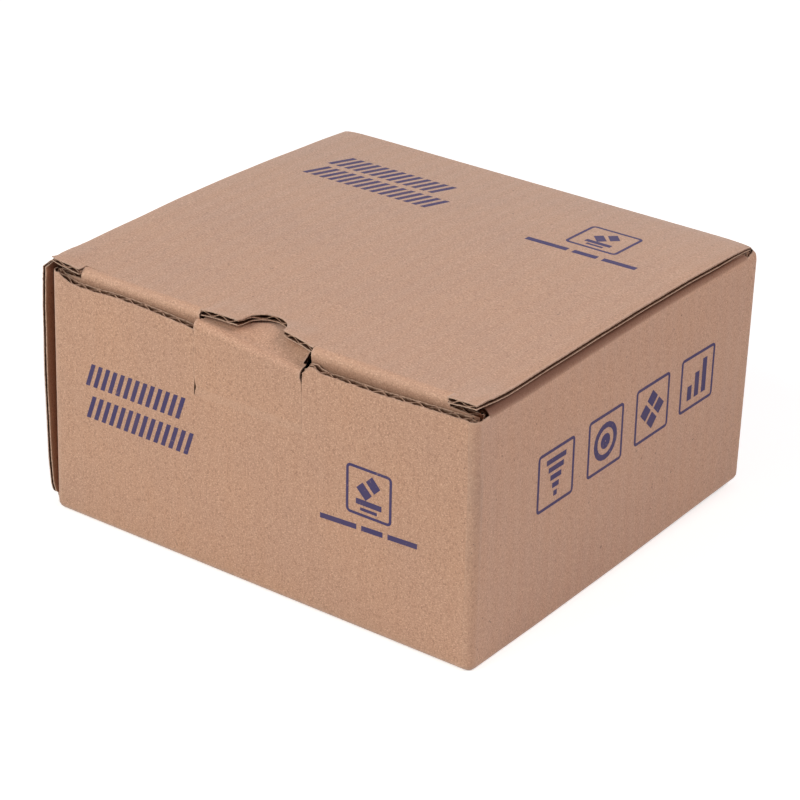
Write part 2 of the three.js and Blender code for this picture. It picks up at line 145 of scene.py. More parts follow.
# The printed figures, in mm from their middles. A stroke has its two ends and the offset to one
# long side, a ring its size, corner and line, and a bar its place and height
DIAMOND_STROKES = (
    ((0.0, 4.8), (3.0, 1.6), (1.1, 1.1)),
    ((-3.4, 2.0), (0.0, -1.4), (1.1, 1.1)),
    ((-4.6, -3.4), (4.6, -3.4), (0.0, 0.9)),
    ((-3.0, -5.6), (3.0, -5.6), (0.0, 0.5)),
)
STEP_HALVES = (5.0, 3.9, 2.8, 1.7, 0.9)
STEP_TOP, STEP_PITCH, STEP_THICK = 5.6, 2.8, 0.85
TARGET_RINGS = (((12.4, 12.4), 6.15, 1.9), ((5.0, 5.0), 2.45, 2.3))
LOZENGES = ((0.0, 3.7), (3.7, 0.0), (0.0, -3.7), (-3.7, 0.0))
LOZENGE_HALF = 1.45
BARS = ((-4.0, 5.0), (0.0, 8.5), (4.0, 12.0))
BAR_FOOT, BAR_HALF = -6.0, 1.2

# The record's material slots
KRAFT_BOARD = "kraft_board"
KRAFT_CREASE = "kraft_crease"


class Axis(Enum):
    """The direction along which a fold lies."""

    X = "x"
    Y = "y"
    Z = "z"


class Side(Enum):
    """A side of the carton, as the sign of x."""

    LEFT = -1
    RIGHT = 1


class Raw(Flag):
    """Which ends of a patch are cut edges."""

    NONE = 0
    LOW = auto()
    HIGH = auto()
    START = auto()
    END = auto()


ENDS = Raw.START | Raw.END


class Figure(Enum):
    """A plain figure that stands in a printed frame."""

    STEPS = "steps"
    TARGET = "target"
    LOZENGES = "lozenges"
    BARS = "bars"


class Layer(Enum):
    """One of the three papers of the board."""

    OUTER = "outer"
    FLUTING = "fluting"
    INNER = "inner"


# The numbers of the materials on each paper's outer face, inner face and cut edge. The faces
# round the flutes take the fluting's material, whose dark colour is painted shade
LAYER_PAINT = {Layer.OUTER: (0, 2, 3), Layer.FLUTING: (2, 2, 2), Layer.INNER: (2, 1, 3)}


def ripple(run: Array, seed: float) -> Array:
    """Gives an even, repeatable unevenness between about -1 and 1.

    Args:
        run: Distance along the edge in mm.
        seed: Number that sets one edge apart from the next.

    Returns:
        One value for each place along the edge.
    """
    waves = (part * np.sin(run * turns + seed * shift) for turns, shift, part in EDGE_WAVES)
    return sum(waves) / 2.0


@dataclass(frozen=True)
class Profile:
    """A value that follows a broken line through pairs of place and value."""

    pairs: tuple[Pair, ...]

    def __call__(self, place: Array) -> Array:
        """Reads the value at each place, held beyond the two ends."""
        return np.interp(place, *zip(*self.pairs))


def smooth(value: Array) -> Array:
    """Eases a share from 0 to 1, and holds it outside that range.

    Args:
        value: Any values.

    Returns:
        The eased shares.
    """
    held = np.clip(value, 0.0, 1.0)
    return held * held * (3.0 - 2.0 * held)


LEAN_OUT = Profile(((0.0, 0.15), (80.0, 1.1), (82.0, 0.8), (TOP, 0.0)))
BOW_IN = Profile((
    (-74.0, 0.4), (-67.0, 1.0), (-50.0, 1.5), (-7.0, 1.5), (18.0, 1.2), (41.0, 1.0),
    (64.0, 0.4), (74.0, 0.0),
))
FRONT_LEFT_LEAN = Profile(((0.0, -1.1), (TOP, 0.75)))


def ramp(value: Array, start: float, span: float) -> Array:
    """Eases from 0 at the start to 1 after the span, and holds it beyond."""
    return smooth((value - start) / span)


def fade(distance: Array, reach: float) -> Array:
    """Falls from 1 at no distance towards 0, the more slowly the longer the reach."""
    return np.exp(-distance / reach)


def gather(places: Array) -> Array:
    """Turns places in mm, in the carton's own frame, into metres in the shared frame."""
    return (places + np.array((SHIFT_X, 0.0, 0.0))) * MM


def warp(places: Array) -> Array:
    """Takes the sleeve's walls out of true, as a glued carton's walls are.

    The rear right edge leans out towards its top and is chamfered there, its foot stands a
    little off the floor, the right wall bows in under the lid, and the front left edge leans
    to the left at its foot.

    Args:
        places: Places in mm.

    Returns:
        The places, moved.
    """
    made = places.copy()
    x, y, z = places.T
    lean = ramp(x, *LEAN_X) * ramp(y, *LEAN_Y) * LEAN_OUT(z)
    chamfer = CHAMFER_SLOPE * np.clip(z - CHAMFER_FOOT, 0.0, CHAMFER_DEPTH) * ramp(x, *CHAMFER_X)
    made[:, 0] += LEAN_RIGHT * lean
    made[:, 0] -= chamfer * ramp(y, *CHAMFER_Y)
    made[:, 1] -= chamfer * ramp(y, *CHAMFER_REAR)
    made[:, 1] += LEAN_BACK * lean
    made[:, 0] -= BOW_IN(y) * ramp(x, *BOW_X) * ramp(z, *BOW_Z)
    lift = LIFT * np.clip((y - LIFT_START) / LIFT_RUN, 0.0, 1.0)
    lift += REAR_LIFT * ramp(y, *REAR_LIFT_Y)
    made[:, 2] += lift * ramp(x, *LIFT_X) * np.clip(1.0 - z / LIFT_HEIGHT, 0.0, 1.0)
    front_left = ramp(-x, *FRONT_LEFT_X) * ramp(-y, *FRONT_LEFT_Y)
    made[:, 0] += front_left * FRONT_LEFT_LEAN(z)
    return made


@dataclass(frozen=True)
class Turn:
    """A rounded fold seen along its own line, with the straight runs before and after it."""

    centre: Pair
    radius: float
    outward: float
    sweep: float

    @property
    def length(self) -> float:
        """Length of the fold's arc on its outer face."""
        return self.radius * abs(self.sweep)

    def at(self, run: Array, depth: Array) -> tuple[Array, Array]:
        """Finds the two coordinates of a place in the fold's section.

        Args:
            run: Distance along the outer face from the start of the arc.
            depth: Distance in from the outer face.

        Returns:
            The two coordinates in the plane of the section.
        """
        sign = math.copysign(1.0, self.sweep)
        held = np.clip(run, 0.0, self.length)
        angle = self.outward + sign * held / self.radius
        reach = self.radius - depth
        over = run - held
        first = self.centre[0] + reach * np.cos(angle) - sign * over * np.sin(angle)
        second = self.centre[1] + reach * np.sin(angle) + sign * over * np.cos(angle)
        return first, second

    def chord(self, depth: float, ease: float) -> "Chord":
        """Gives the straight strip that joins the two ends of the eased arc at a depth.

        Args:
            depth: Depth in from the outer face, in mm.
            ease: How far the arc runs on at each end.

        Returns:
            The strip.
        """
        runs = (-ease, self.length + ease)
        ends = [self.at(np.array([run]), np.array([depth])) for run in runs]
        start, end = [(float(a[0]), float(b[0])) for a, b in ends]
        return Chord(start, end, depth, math.copysign(1.0, self.sweep))


@dataclass(frozen=True)
class Chord:
    """A straight strip across the inside of a fold."""

    start: Pair
    end: Pair
    depth: float
    hand: float

    @property
    def length(self) -> float:
        """Length of the strip."""
        return math.dist(self.start, self.end)

    def at(self, run: Array, depth: Array) -> tuple[Array, Array]:
        """Finds the two coordinates of a place in the strip, deeper places lying further in.

        Args:
            run: Distance along the strip, in mm.
            depth: Depth in from the outer face, in mm.

        Returns:
            The two coordinates in the plane of the section.
        """
        along = (np.array(self.end) - np.array(self.start)) / self.length
        inward = np.array((-along[1], along[0])) * self.hand
        lift = depth - self.depth
        first = self.start[0] + run * along[0] + lift * inward[0]
        second = self.start[1] + run * along[1] + lift * inward[1]
        return first, second


def laid(section: Turn | Chord, axis: Axis, offset: float = 0.0) -> Place:
    """Lays a section along an axis.

    Args:
        section: The fold or strip.
        axis: The direction along which it lies.
        offset: Added to the run along the section.

    Returns:
        A function from (along, run, depth) to places in mm.
    """

    def place(along: Array, run: Array, depth: Array) -> Array:
        """Places points of a fold.

        Args:
            along: Places along the edge or fold, in mm.
            run: Distance across the fold, in mm.
            depth: Depth in from the outer face, in mm.

        Returns:
            Places in mm.
        """
        if axis is Axis.Z:
            first, second = section.at(along + offset, depth)
            return np.stack((first, second, run), axis=1)
        first, second = section.at(run + offset, depth)
        if axis is Axis.X:
            return np.stack((along, first, second), axis=1)
        return np.stack((first, along, second), axis=1)

    return place


def flat(along: Axis, level: float, inward: float, up: Axis = Axis.Z) -> Place:
    """Makes the placing of a flat board whose outer face lies at one level.

    Args:
        along: The axis across the flutes.
        level: The coordinate of the outer face on the remaining axis.
        inward: Sign of the way into the board on that axis.
        up: The axis along the flutes.

    Returns:
        A function from (along, up, depth) to places in mm.
    """
    order = list(Axis)
    first, second = order.index(along), order.index(up)
    third = 3 - first - second

    def place(run: Array, rise: Array, depth: Array) -> Array:
        """Places points of a flat board.

        Args:
            run: Places across the flutes, in mm.
            rise: Places along the flutes, in mm.
            depth: Depth in from the outer face, in mm.

        Returns:
            Places in mm.
        """
        made = np.empty((len(run), 3))
        made[:, first] = run
        made[:, second] = rise
        made[:, third] = level + inward * depth
        return made

    return place


@dataclass(frozen=True)
class Patch:
    """A stretch of board between two ends along the fold and two edges across it."""

    start: float
    end: float
    low: Bound
    high: Bound
    raw: Raw = Raw.NONE
    step: float = 8.0

    def edges(self, columns: Array) -> tuple[Array, Array]:
        """Gives the lower and the upper edge at each column.

        Args:
            columns: Places of the columns, in mm.

        Returns:
            The two edges, in mm.
        """
        made = [
            bound(columns) if callable(bound) else np.full(len(columns), float(bound))
            for bound in (self.low, self.high)
        ]
        return made[0], made[1]


@dataclass
class Sheet:
    """A piece of corrugated board, of one or more patches that share their edges."""

    name: str
    place: Place
    patches: Sequence[Patch]
    cuts: Sequence[float] = ()
    column: float = FLUTE_PITCH / 10
    phase: float = 0.0
    crush: float = 0.06
    bevel: float | Callable[[Array], Array] = 0.0
    seed: float = 1.0
    pale: float = 0.0
    wear: float = 1.0
    layers: Sequence[Layer] = tuple(Layer)
    shape: Callable[[Array], Array] | None = None
    crush_at: Callable[[Array, Array], Array] | None = None
    smudge: Callable[[Array], Array] | None = None
    # How much painted shade the piece takes at each place
    painted_shade: Callable[[Array], Array] | None = None

    def columns(self, patch: Patch) -> Array:
        """Gives the places of a patch's columns.

        Args:
            patch: The patch.

        Returns:
            The places, in mm, in rising order.
        """
        special = [patch.start, patch.end]
        special += [cut for cut in self.cuts if patch.start < cut < patch.end]
        first, last = math.ceil(patch.start / self.column), math.floor(patch.end / self.column)
        even = [number * self.column for number in range(first, last + 1)]
        plain = [x for x in even if min(abs(x - edge) for edge in special) > self.column / 4]
        return np.array(sorted(special + plain))

    def patch_grid(self, patch: Patch) -> tuple[Array, Array, Array, Array, Array]:
        """Lays the rows and columns of one patch.

        Args:
            patch: The patch.

        Returns:
            Places along and across, distance to a cut edge, and the push outwards at cut
            edges along and across, each as rows by columns.
        """
        columns = self.columns(patch)
        low, high = patch.edges(columns)
        span = high - low
        near = FRINGE if patch.step > FINE_STEP else FRINGE[:1]
        before = FRINGE if Raw.LOW in patch.raw else near
        after = FRINGE if Raw.HIGH in patch.raw else near
        taken = before[-1] + after[-1]
        scale = np.minimum(1.0, FRINGE_SHARE * span / max(taken, 1e-6))
        cells = max(1, math.ceil((span.max() - taken) / patch.step))
        share = np.linspace(0.0, 1.0, cells + 1)
        first = low + before[-1] * scale
        last = high - after[-1] * scale
        rows = [low + step * scale for step in before[:-1]]
        rows += [first + (last - first) * part for part in share]
        rows += [high - step * scale for step in after[:-1][::-1]]
        across = np.array(rows)
        along = np.broadcast_to(columns, across.shape)
        far = np.full(across.shape, FAR)
        push_along, push_across = np.zeros(across.shape), np.zeros(across.shape)
        for end, distance, push, line, way in (
            (Raw.LOW, across - low, push_across, np.s_[0], -1.0),
            (Raw.HIGH, high - across, push_across, np.s_[-1], 1.0),
            (Raw.START, along - patch.start, push_along, np.s_[:, 0], -1.0),
            (Raw.END, patch.end - along, push_along, np.s_[:, -1], 1.0),
        ):
            if end in patch.raw:
                far = np.minimum(far, distance)
                push[line] = way
        return along, across, far, push_along, push_across

    def grid(self) -> tuple[Array, list[tuple[int, ...]], list[tuple[int, int]]]:
        """Joins the patches into one net.

        Returns:
            The points as (along, across, far, push along, push across), the faces, and the
            edges on the net's outline.
        """
        points, faces, start = [], [], 0
        for patch in self.patches:
            grids = self.patch_grid(patch)
            rows, columns = grids[0].shape
            points.append(np.stack([g.ravel() for g in grids], axis=1))
            index = start + np.arange(rows * columns).reshape(rows, columns)
            corners = (index[:-1, :-1], index[:-1, 1:], index[1:, 1:], index[1:, :-1])
            faces.append(np.stack([c.ravel() for c in corners], axis=1))
            start += rows * columns
        cloud = np.concatenate(points)
        _, kept, back = np.unique(
            np.round(cloud[:, :2], 3), axis=0, return_index=True, return_inverse=True
        )
        back = back.ravel()
        joined = cloud[kept].copy()
        joined[:, 2] = FAR
        np.minimum.at(joined[:, 2], back, cloud[:, 2])
        net, seen = [], {}
        for quad in back[np.concatenate(faces)].tolist():
            face = tuple(v for i, v in enumerate(quad) if v != quad[i - 1])
            if len(set(face)) < 3:
                continue
            net.append(face)
            for i, v in enumerate(face):
                edge = (v, face[(i + 1) % len(face)])
                if edge[::-1] in seen:
                    del seen[edge[::-1]]
                else:
                    seen[edge] = True
        return joined, net, list(seen)

    def depths(self, layer: Layer, points: Array) -> tuple[Array, Array]:
        """Finds how deep the two faces of a layer lie at each point of the net.

        Args:
            layer: The paper.
            points: The net's points.

        Returns:
            The depths in mm of its outer and of its inner face.
        """
        loss = self.crush * fade(points[:, 2], CRUSH_REACH)
        if self.crush_at is not None:
            loss = np.minimum(MOST_CRUSH, loss + self.crush_at(points[:, 0], points[:, 1]))
        sink = BOARD * loss * OUTER_SHARE_OF_CRUSH
        thick = BOARD * (1.0 - loss)
        if layer is Layer.OUTER:
            return sink, sink + LINER
        if layer is Layer.INNER:
            return sink + thick - LINER, sink + thick
        swing = (thick - 2 * LINER - FLUTE_WALL) / 2 + FLUTE_BITE
        wave = np.sin(2 * math.pi * points[:, 0] / FLUTE_PITCH + self.phase)
        middle = sink + thick / 2 + swing * wave
        return middle - FLUTE_WALL / 2, middle + FLUTE_WALL / 2

    def faces_of(self, layer: Layer, points: Array, seed: float) -> list[Array]:
        """Places the two faces of a layer.

        Args:
            layer: The paper.
            points: The net's points.
            seed: Sets the raggedness of its cut edges.

        Returns:
            The places in mm of the outer and of the inner face.
        """
        tear = TEAR * ripple(points[:, 0] + points[:, 1], seed)
        tear -= FLUTING_SETBACK if layer is Layer.FLUTING else 0.0
        along = points[:, 0] + points[:, 3] * tear
        tilt = self.bevel(points[:, 0]) if callable(self.bevel) else self.bevel
        made = []
        for depth in self.depths(layer, points):
            slant = tilt * (depth / BOARD) * fade(points[:, 2], BEVEL_REACH)
            place = self.place(along, points[:, 1] + points[:, 4] * tear + slant, depth)
            made.append(place if self.shape is None else self.shape(place))
        return made

    def build(self, dress: "Dress") -> bpy.types.Object:
        """Builds the piece.

        Args:
            dress: The board's finishes.

        Returns:
            The new object, in its place.
        """
        points, net, rim = self.grid()
        count = len(points)
        verts, worn, faces, paint = [], [], [], []
        for number, layer in enumerate(self.layers):
            verts += self.faces_of(layer, points, self.seed + LAYER_SEED * number)
            pale = 0.0 if layer is Layer.FLUTING else self.pale
            edge = self.wear if layer is Layer.OUTER else 1.0
            worn += [np.clip(edge * fade(points[:, 2], WEAR_REACH) + pale, 0.0, 1.0)] * 2
            outer_paint, inner_paint, rim_paint = LAYER_PAINT[layer]
            base = 2 * count * number
            for face in net:
                outer = tuple(v + base for v in face)
                faces += [outer, tuple(v + count for v in outer[::-1])]
                paint += [outer_paint, inner_paint]
            faces += [(b + base, a + base, a + base + count, b + base + count) for a, b in rim]
            paint += [rim_paint] * len(rim)
        places = np.concatenate(verts)
        made = make_object(self.name, places, faces, dress.papers(), paint)
        put_attribute(made, "worn", np.concatenate(worn))
        put_attribute(made, "flute", np.tile(points[:, 0], 2 * len(self.layers)))
        # smudge is real scuffing; the second attribute is painted shade
        for name, amount in (("smudge", self.smudge), ("painted_shade", self.painted_shade)):
            if amount is not None:
                put_attribute(made, name, amount(places))
        return made

    def lay(self, dress: "Dress", body: str, node: str, slot: str = KRAFT_BOARD) -> None:
        """Builds the piece and settles it on a body, where it stands for a solid."""
        settle(self.build(dress), body, slot, node)


def put_attribute(piece: bpy.types.Object, name: str, values: Array) -> None:
    """Writes one number for each vertex of a piece.

    Args:
        piece: The piece.
        name: The attribute's name.
        values: One number for each vertex.
    """
    layer = piece.data.attributes.new(name, "FLOAT", "POINT")
    layer.data.foreach_set("value", values.astype(np.float32))


def make_object(
    name: str,
    verts: Array,
    faces: Sequence[Sequence[int]],
    materials: Sequence[bpy.types.Material],
    paint: Sequence[int] | None = None,
) -> bpy.types.Object:
    """Makes a mesh object from places in mm.

    Args:
        name: The piece's name.
        verts: Places in mm, in the carton's own frame.
        faces: Corner numbers of each face.
        materials: The materials, in the order of their numbers.
        paint: The material number of each face.

    Returns:
        The new object.
    """
    mesh = bpy.data.meshes.new(name)
    mesh.from_pydata(gather(verts).tolist(), [], faces)
    for material in materials:
        mesh.materials.append(material)
    if paint is not None:
        mesh.polygons.foreach_set("material_index", np.array(paint, np.int32))
    net = bmesh.new()
    net.from_mesh(mesh)
    bmesh.ops.recalc_face_normals(net, faces=net.faces)
    net.to_mesh(mesh)
    net.free()
    mesh.shade_smooth()
    mesh.set_sharp_from_angle(angle=SHARPEST_SMOOTH)
    mesh.validate()
    made = bpy.data.objects.new(name, mesh)
    bpy.context.scene.collection.objects.link(made)
    return made


def settle(piece: bpy.types.Object, body: str, slot: str, *nodes: str) -> None:
    """Puts a piece on the body that it rides on and hides the solids that it stands for.

    Args:
        piece: The piece, in its place.
        body: The body's name.
        slot: The record's material slot; not used.
        nodes: The solids that it stands for.
    """
    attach(piece, body)
    if nodes:
        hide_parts(*nodes)
    LOG.info("%s rides on %s with %d faces", piece.name, body, len(piece.data.polygons))


def settle_bend(
    piece: bpy.types.Object,
    bodies: tuple[str, str],
    node: str,
    start: Sequence[float],
    end: Sequence[float],
) -> None:
    """Bakes a bent piece into its place, hides the crease's solid that it stands for, and logs
    between which bodies it bends.

    Args:
        piece: The piece, in its place.
        bodies: The bodies at the bend's start and end.
        node: The crease's solid.
        start: Where the bend starts, in metres; not used.
        end: Where it ends, in metres; not used.
    """
    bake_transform(piece)
    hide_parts(node)
    LOG.info("%s bends between %s and %s", piece.name, *bodies)


def srgb(code: str) -> tuple[float, float, float, float]:
    """Turns an sRGB hex colour into a linear one.

    Args:
        code: The colour, such as "#C8A285".

    Returns:
        Linear red, green, blue and 1.
    """
    parts = [int(code[i : i + 2], 16) / 255 for i in (1, 3, 5)]
    lin = [p / 12.92 if p <= 0.04045 else ((p + 0.055) / 1.055) ** 2.4 for p in parts]
    return lin[0], lin[1], lin[2], 1.0


def per_metre(size_mm: float) -> float:
    """Gives the texture scale that repeats once in a size in mm."""
    return 1.0 / (size_mm * MM)


def add_node(
    tree: bpy.types.NodeTree,
    kind: str,
    settings: dict[str | int, object] | None = None,
    links: dict[str | int, bpy.types.NodeSocket] | None = None,
) -> bpy.types.Node:
    """Adds a node with its settings and links.

    Args:
        tree: The node tree.
        kind: The node's type name.
        settings: Values, by property name in lower case, or by input name or number.
        links: The sockets that feed its inputs, by input name or number.

    Returns:
        The new node.
    """
    made = tree.nodes.new(kind)
    for key, value in (settings or {}).items():
        if isinstance(key, str) and key.islower():
            setattr(made, key, value)
    for key, value in (settings or {}).items():
        if not (isinstance(key, str) and key.islower()):
            made.inputs[key].default_value = value
    for key, source in (links or {}).items():
        tree.links.new(source, made.inputs[key])
    return made


def new_material(name: str) -> tuple[bpy.types.Material, bpy.types.NodeTree]:
    """Makes an empty node material.

    Args:
        name: The material's name.

    Returns:
        The material and its node tree.
    """
    made = bpy.data.materials.new(name)
    made.use_nodes = True
    made.node_tree.nodes.clear()
    return made, made.node_tree


@dataclass(frozen=True)
class Mottle:
    """A cloudy unevenness whose blots have a real size, stretched along an axis or not."""

    size_mm: float
    detail: float
    stretch: Triple = (1.0, 1.0, 1.0)

    def draw(self, tree: bpy.types.NodeTree) -> bpy.types.NodeSocket:
        """Draws the blots over the object's own coordinates, in metres.

        Args:
            tree: The node tree.

        Returns:
            The socket of the value, from 0 to 1.
        """
        where = add_node(tree, "ShaderNodeTexCoord").outputs["Object"]
        moved = add_node(tree, "ShaderNodeMapping", {"Scale": self.stretch}, {"Vector": where})
        made = add_node(
            tree,
            "ShaderNodeTexNoise",
            {"Scale": per_metre(self.size_mm), "Detail": self.detail, "Roughness": 0.6},
            {"Vector": moved.outputs[0]},
        )
        return made.outputs[0]


@dataclass(frozen=True)
class Coat:
    """A colour over another one, as thick as a pattern says."""

    pattern: bpy.types.NodeSocket
    colour: str
    bare: float = 0.0
    full: float = 1.0


def lay_coats(
    tree: bpy.types.NodeTree, ground: str, coats: Sequence[Coat]
) -> bpy.types.NodeSocket:
    """Lays coats of colour over a ground.

    Args:
        tree: The node tree.
        ground: The ground's sRGB code.
        coats: The coats, the lowest one first.

    Returns:
        The socket of the seen colour.
    """
    under = None
    for coat in coats:
        share = add_node(
            tree,
            "ShaderNodeMapRange",
            {"From Min": coat.bare, "From Max": coat.full},
            {"Value": coat.pattern},
        )
        mix = add_node(
            tree,
            "ShaderNodeMix",
            {"data_type": "RGBA", 6: srgb(ground), 7: srgb(coat.colour)},
            {0: share.outputs[0]},
        )
        if under is not None:
            tree.links.new(under, mix.inputs[6])
        under = mix.outputs[2]
    return under


@dataclass(frozen=True)
class KraftPaper:
    """Unbleached kraft paper: matt, fibrous, with dark bark flecks and soft clouds.

    The eye gets a warm brown that is never quite even, and no shine. The fibres are far finer
    than a pixel, so they are drawn as coarse as they need to show. Where the paper is worn it
    is paler and where it is smudged it is greyer. Where it carries painted shade it is darkened
    towards a deep reddish brown, which stands in for the shade under the lid's edges.
    """

    name: str
    ground: str
    cloud: str
    dark_fibre: str
    light_fibre: str
    fleck: str
    worn: str
    smudged: str = "#86756A"
    # The dark reddish brown towards which painted shade darkens the paper
    shade_dark: str = "#562810"
    fibre_mm: float = 0.52
    hair_mm: float = 0.364
    cloud_mm: float = 28.0
    fleck_mm: float = 1.1
    tuft_mm: float = 0.9
    smudge_mm: float = 5.0
    fibre_height_mm: float = 0.1
    roughness: float = 0.66
    nap: float = 0.0
    gloss: float = 0.3
    washboard: float = 0.0
    frayed: float = 0.0

    def make(self) -> bpy.types.Material:
        """Makes the material.

        Returns:
            The material.
        """
        made, tree = new_material(self.name)
        fibre = Mottle(self.fibre_mm, detail=3.0, stretch=(1.0, 1.0, 0.6)).draw(tree)
        hair = Mottle(self.hair_mm, detail=2.0, stretch=(0.6, 1.0, 1.0)).draw(tree)
        # worn and smudge are real wear and scuffing; the third attribute is painted shade
        worn, smudge, painted_shade = [
            add_node(tree, "ShaderNodeAttribute", {"attribute_name": name}).outputs["Fac"]
            for name in ("worn", "smudge", "painted_shade")
        ]
        cloud = Mottle(self.cloud_mm, detail=2.0).draw(tree)
        fleck = Mottle(self.fleck_mm, detail=1.0, stretch=(1.0, 0.8, 0.7)).draw(tree)
        patchy = Mottle(self.smudge_mm, detail=3.0, stretch=(1.0, 1.0, 0.35)).draw(tree)
        share = add_node(
            tree, "ShaderNodeMapRange", {"From Min": 0.2, "From Max": 0.75}, {"Value": patchy}
        )
        dirt = add_node(
            tree,
            "ShaderNodeMath",
            {"operation": "MULTIPLY"},
            {0: smudge, 1: share.outputs[0]},
        )
        colour = lay_coats(
            tree,
            self.ground,
            (
                Coat(cloud, self.cloud, bare=0.3, full=0.7),
                Coat(fibre, self.dark_fibre, bare=0.5, full=0.3),
                Coat(hair, self.light_fibre, bare=0.5, full=0.7),
                Coat(fleck, self.fleck, bare=0.745, full=0.80),
                Coat(self.fray(tree, worn), self.worn),
                Coat(dirt.outputs[0], self.smudged),
                # The last coat is painted shade, not a mark of the paper
                Coat(painted_shade, self.shade_dark),
            ),
        )
        height = add_node(tree, "ShaderNodeMath", {"operation": "ADD"}, {0: fibre, 1: hair})
        bump = add_node(
            tree,
            "ShaderNodeBump",
            {"Strength": 0.3, "Distance": self.fibre_height_mm * MM},
            {"Height": height.outputs[0]},
        )
        if self.washboard > 0.0:
            bump = self.add_washboard(tree, bump)
        # The nap fades where painted shade is laid, so that the painted shade stays dark and brown
        nap = add_node(
            tree,
            "ShaderNodeMath",
            {"operation": "MULTIPLY_ADD", 1: -self.nap, 2: self.nap},
            {0: painted_shade},
        )
        skin = add_node(
            tree,
            "ShaderNodeBsdfPrincipled",
            {
                "Roughness": self.roughness,
                "Specular IOR Level": self.gloss,
                "Sheen Roughness": 0.5,
            },
            {
                "Base Color": colour,
                "Normal": bump.outputs[0],
                "Sheen Weight": nap.outputs[0],
            },
        )
        add_node(tree, "ShaderNodeOutputMaterial", {}, {"Surface": skin.outputs[0]})
        return made

    def fray(
        self, tree: bpy.types.NodeTree, worn: bpy.types.NodeSocket
    ) -> bpy.types.NodeSocket:
        """Leaves the worn edge bare in tufts, where the cut paper is frayed.

        Args:
            tree: The node tree.
            worn: How worn the paper is.

        Returns:
            How worn it is between the tufts.
        """
        if self.frayed == 0.0:
            return worn
        tufts = add_node(
            tree,
            "ShaderNodeMapRange",
            {"From Min": 0.62, "From Max": 0.38},
            {"Value": Mottle(self.tuft_mm, detail=1.0).draw(tree)},
        )
        left = add_node(
            tree,
            "ShaderNodeMath",
            {"operation": "MULTIPLY_ADD", 1: -self.frayed, 2: 1.0},
            {0: tufts.outputs[0]},
        )
        kept = add_node(
            tree, "ShaderNodeMath", {"operation": "MULTIPLY"}, {0: worn, 1: left.outputs[0]}
        )
        return kept.outputs[0]

    def add_washboard(self, tree: bpy.types.NodeTree, bump: bpy.types.Node) -> bpy.types.Node:
        """Adds the faint waves that the flutes leave on a liner.

        Args:
            tree: The node tree.
            bump: The bump of the fibres.

        Returns:
            The bump with the waves under it.
        """
        along = add_node(tree, "ShaderNodeAttribute", {"attribute_name": "flute"})
        turns = add_node(
            tree,
            "ShaderNodeMath",
            {"operation": "MULTIPLY", 1: 2 * math.pi / FLUTE_PITCH},
            {0: along.outputs["Fac"]},
        )
        wave = add_node(tree, "ShaderNodeMath", {"operation": "SINE"}, {0: turns.outputs[0]})
        return add_node(
            tree,
            "ShaderNodeBump",
            {"Strength": 1.0, "Distance": self.washboard * MM},
            {"Height": wave.outputs[0], "Normal": bump.outputs[0]},
        )


@dataclass(frozen=True)
class PrintingInk:
    """Water-based flexographic ink: a thin dark coat that lets fibres of the liner show."""

    name: str
    ground: str
    cloud: str
    liner: str
    fibre_mm: float = 0.9
    cloud_mm: float = 9.0
    roughness: float = 0.6
    gloss: float = 0.35

    def make(self) -> bpy.types.Material:
        """Makes the material.

        Returns:
            The material.
        """
        made, tree = new_material(self.name)
        fibre = Mottle(self.fibre_mm, detail=3.0, stretch=(0.6, 1.0, 0.6)).draw(tree)
        cloud = Mottle(self.cloud_mm, detail=2.0).draw(tree)
        colour = lay_coats(
            tree,
            self.ground,
            (
                Coat(cloud, self.cloud, bare=0.35, full=0.7),
                Coat(fibre, self.liner, bare=0.64, full=0.84),
            ),
        )
        skin = add_node(
            tree,
            "ShaderNodeBsdfPrincipled",
            {"Roughness": self.roughness, "Specular IOR Level": self.gloss},
            {"Base Color": colour},
        )
        add_node(tree, "ShaderNodeOutputMaterial", {}, {"Surface": skin.outputs[0]})
        return made


@dataclass(frozen=True)
class HotMeltGlue:
    """Hot-melt adhesive: a waxy, slightly cloudy yellow film with a soft shine."""

    name: str = "hot melt adhesive"
    ground: str = "#B09258"
    cloud: str = "#D8C48C"
    cloud_mm: float = 3.0
    depth_mm: float = 0.6
    roughness: float = 0.38

    def make(self) -> bpy.types.Material:
        """Makes the material.

        Returns:
            The material.
        """
        made, tree = new_material(self.name)
        cloud = Mottle(self.cloud_mm, detail=3.0).draw(tree)
        colour = lay_coats(tree, self.ground, (Coat(cloud, self.cloud, bare=0.3, full=0.7),))
        bump = add_node(tree, "ShaderNodeBump", {"Distance": 0.1 * MM}, {"Height": cloud})
        skin = add_node(
            tree,
            "ShaderNodeBsdfPrincipled",
            {
                "Roughness": self.roughness,
                "Subsurface Weight": 0.2,
                "Subsurface Scale": self.depth_mm * MM,
            },
            {"Base Color": colour, "Normal": bump.outputs[0]},
        )
        add_node(tree, "ShaderNodeOutputMaterial", {}, {"Surface": skin.outputs[0]})
        return made


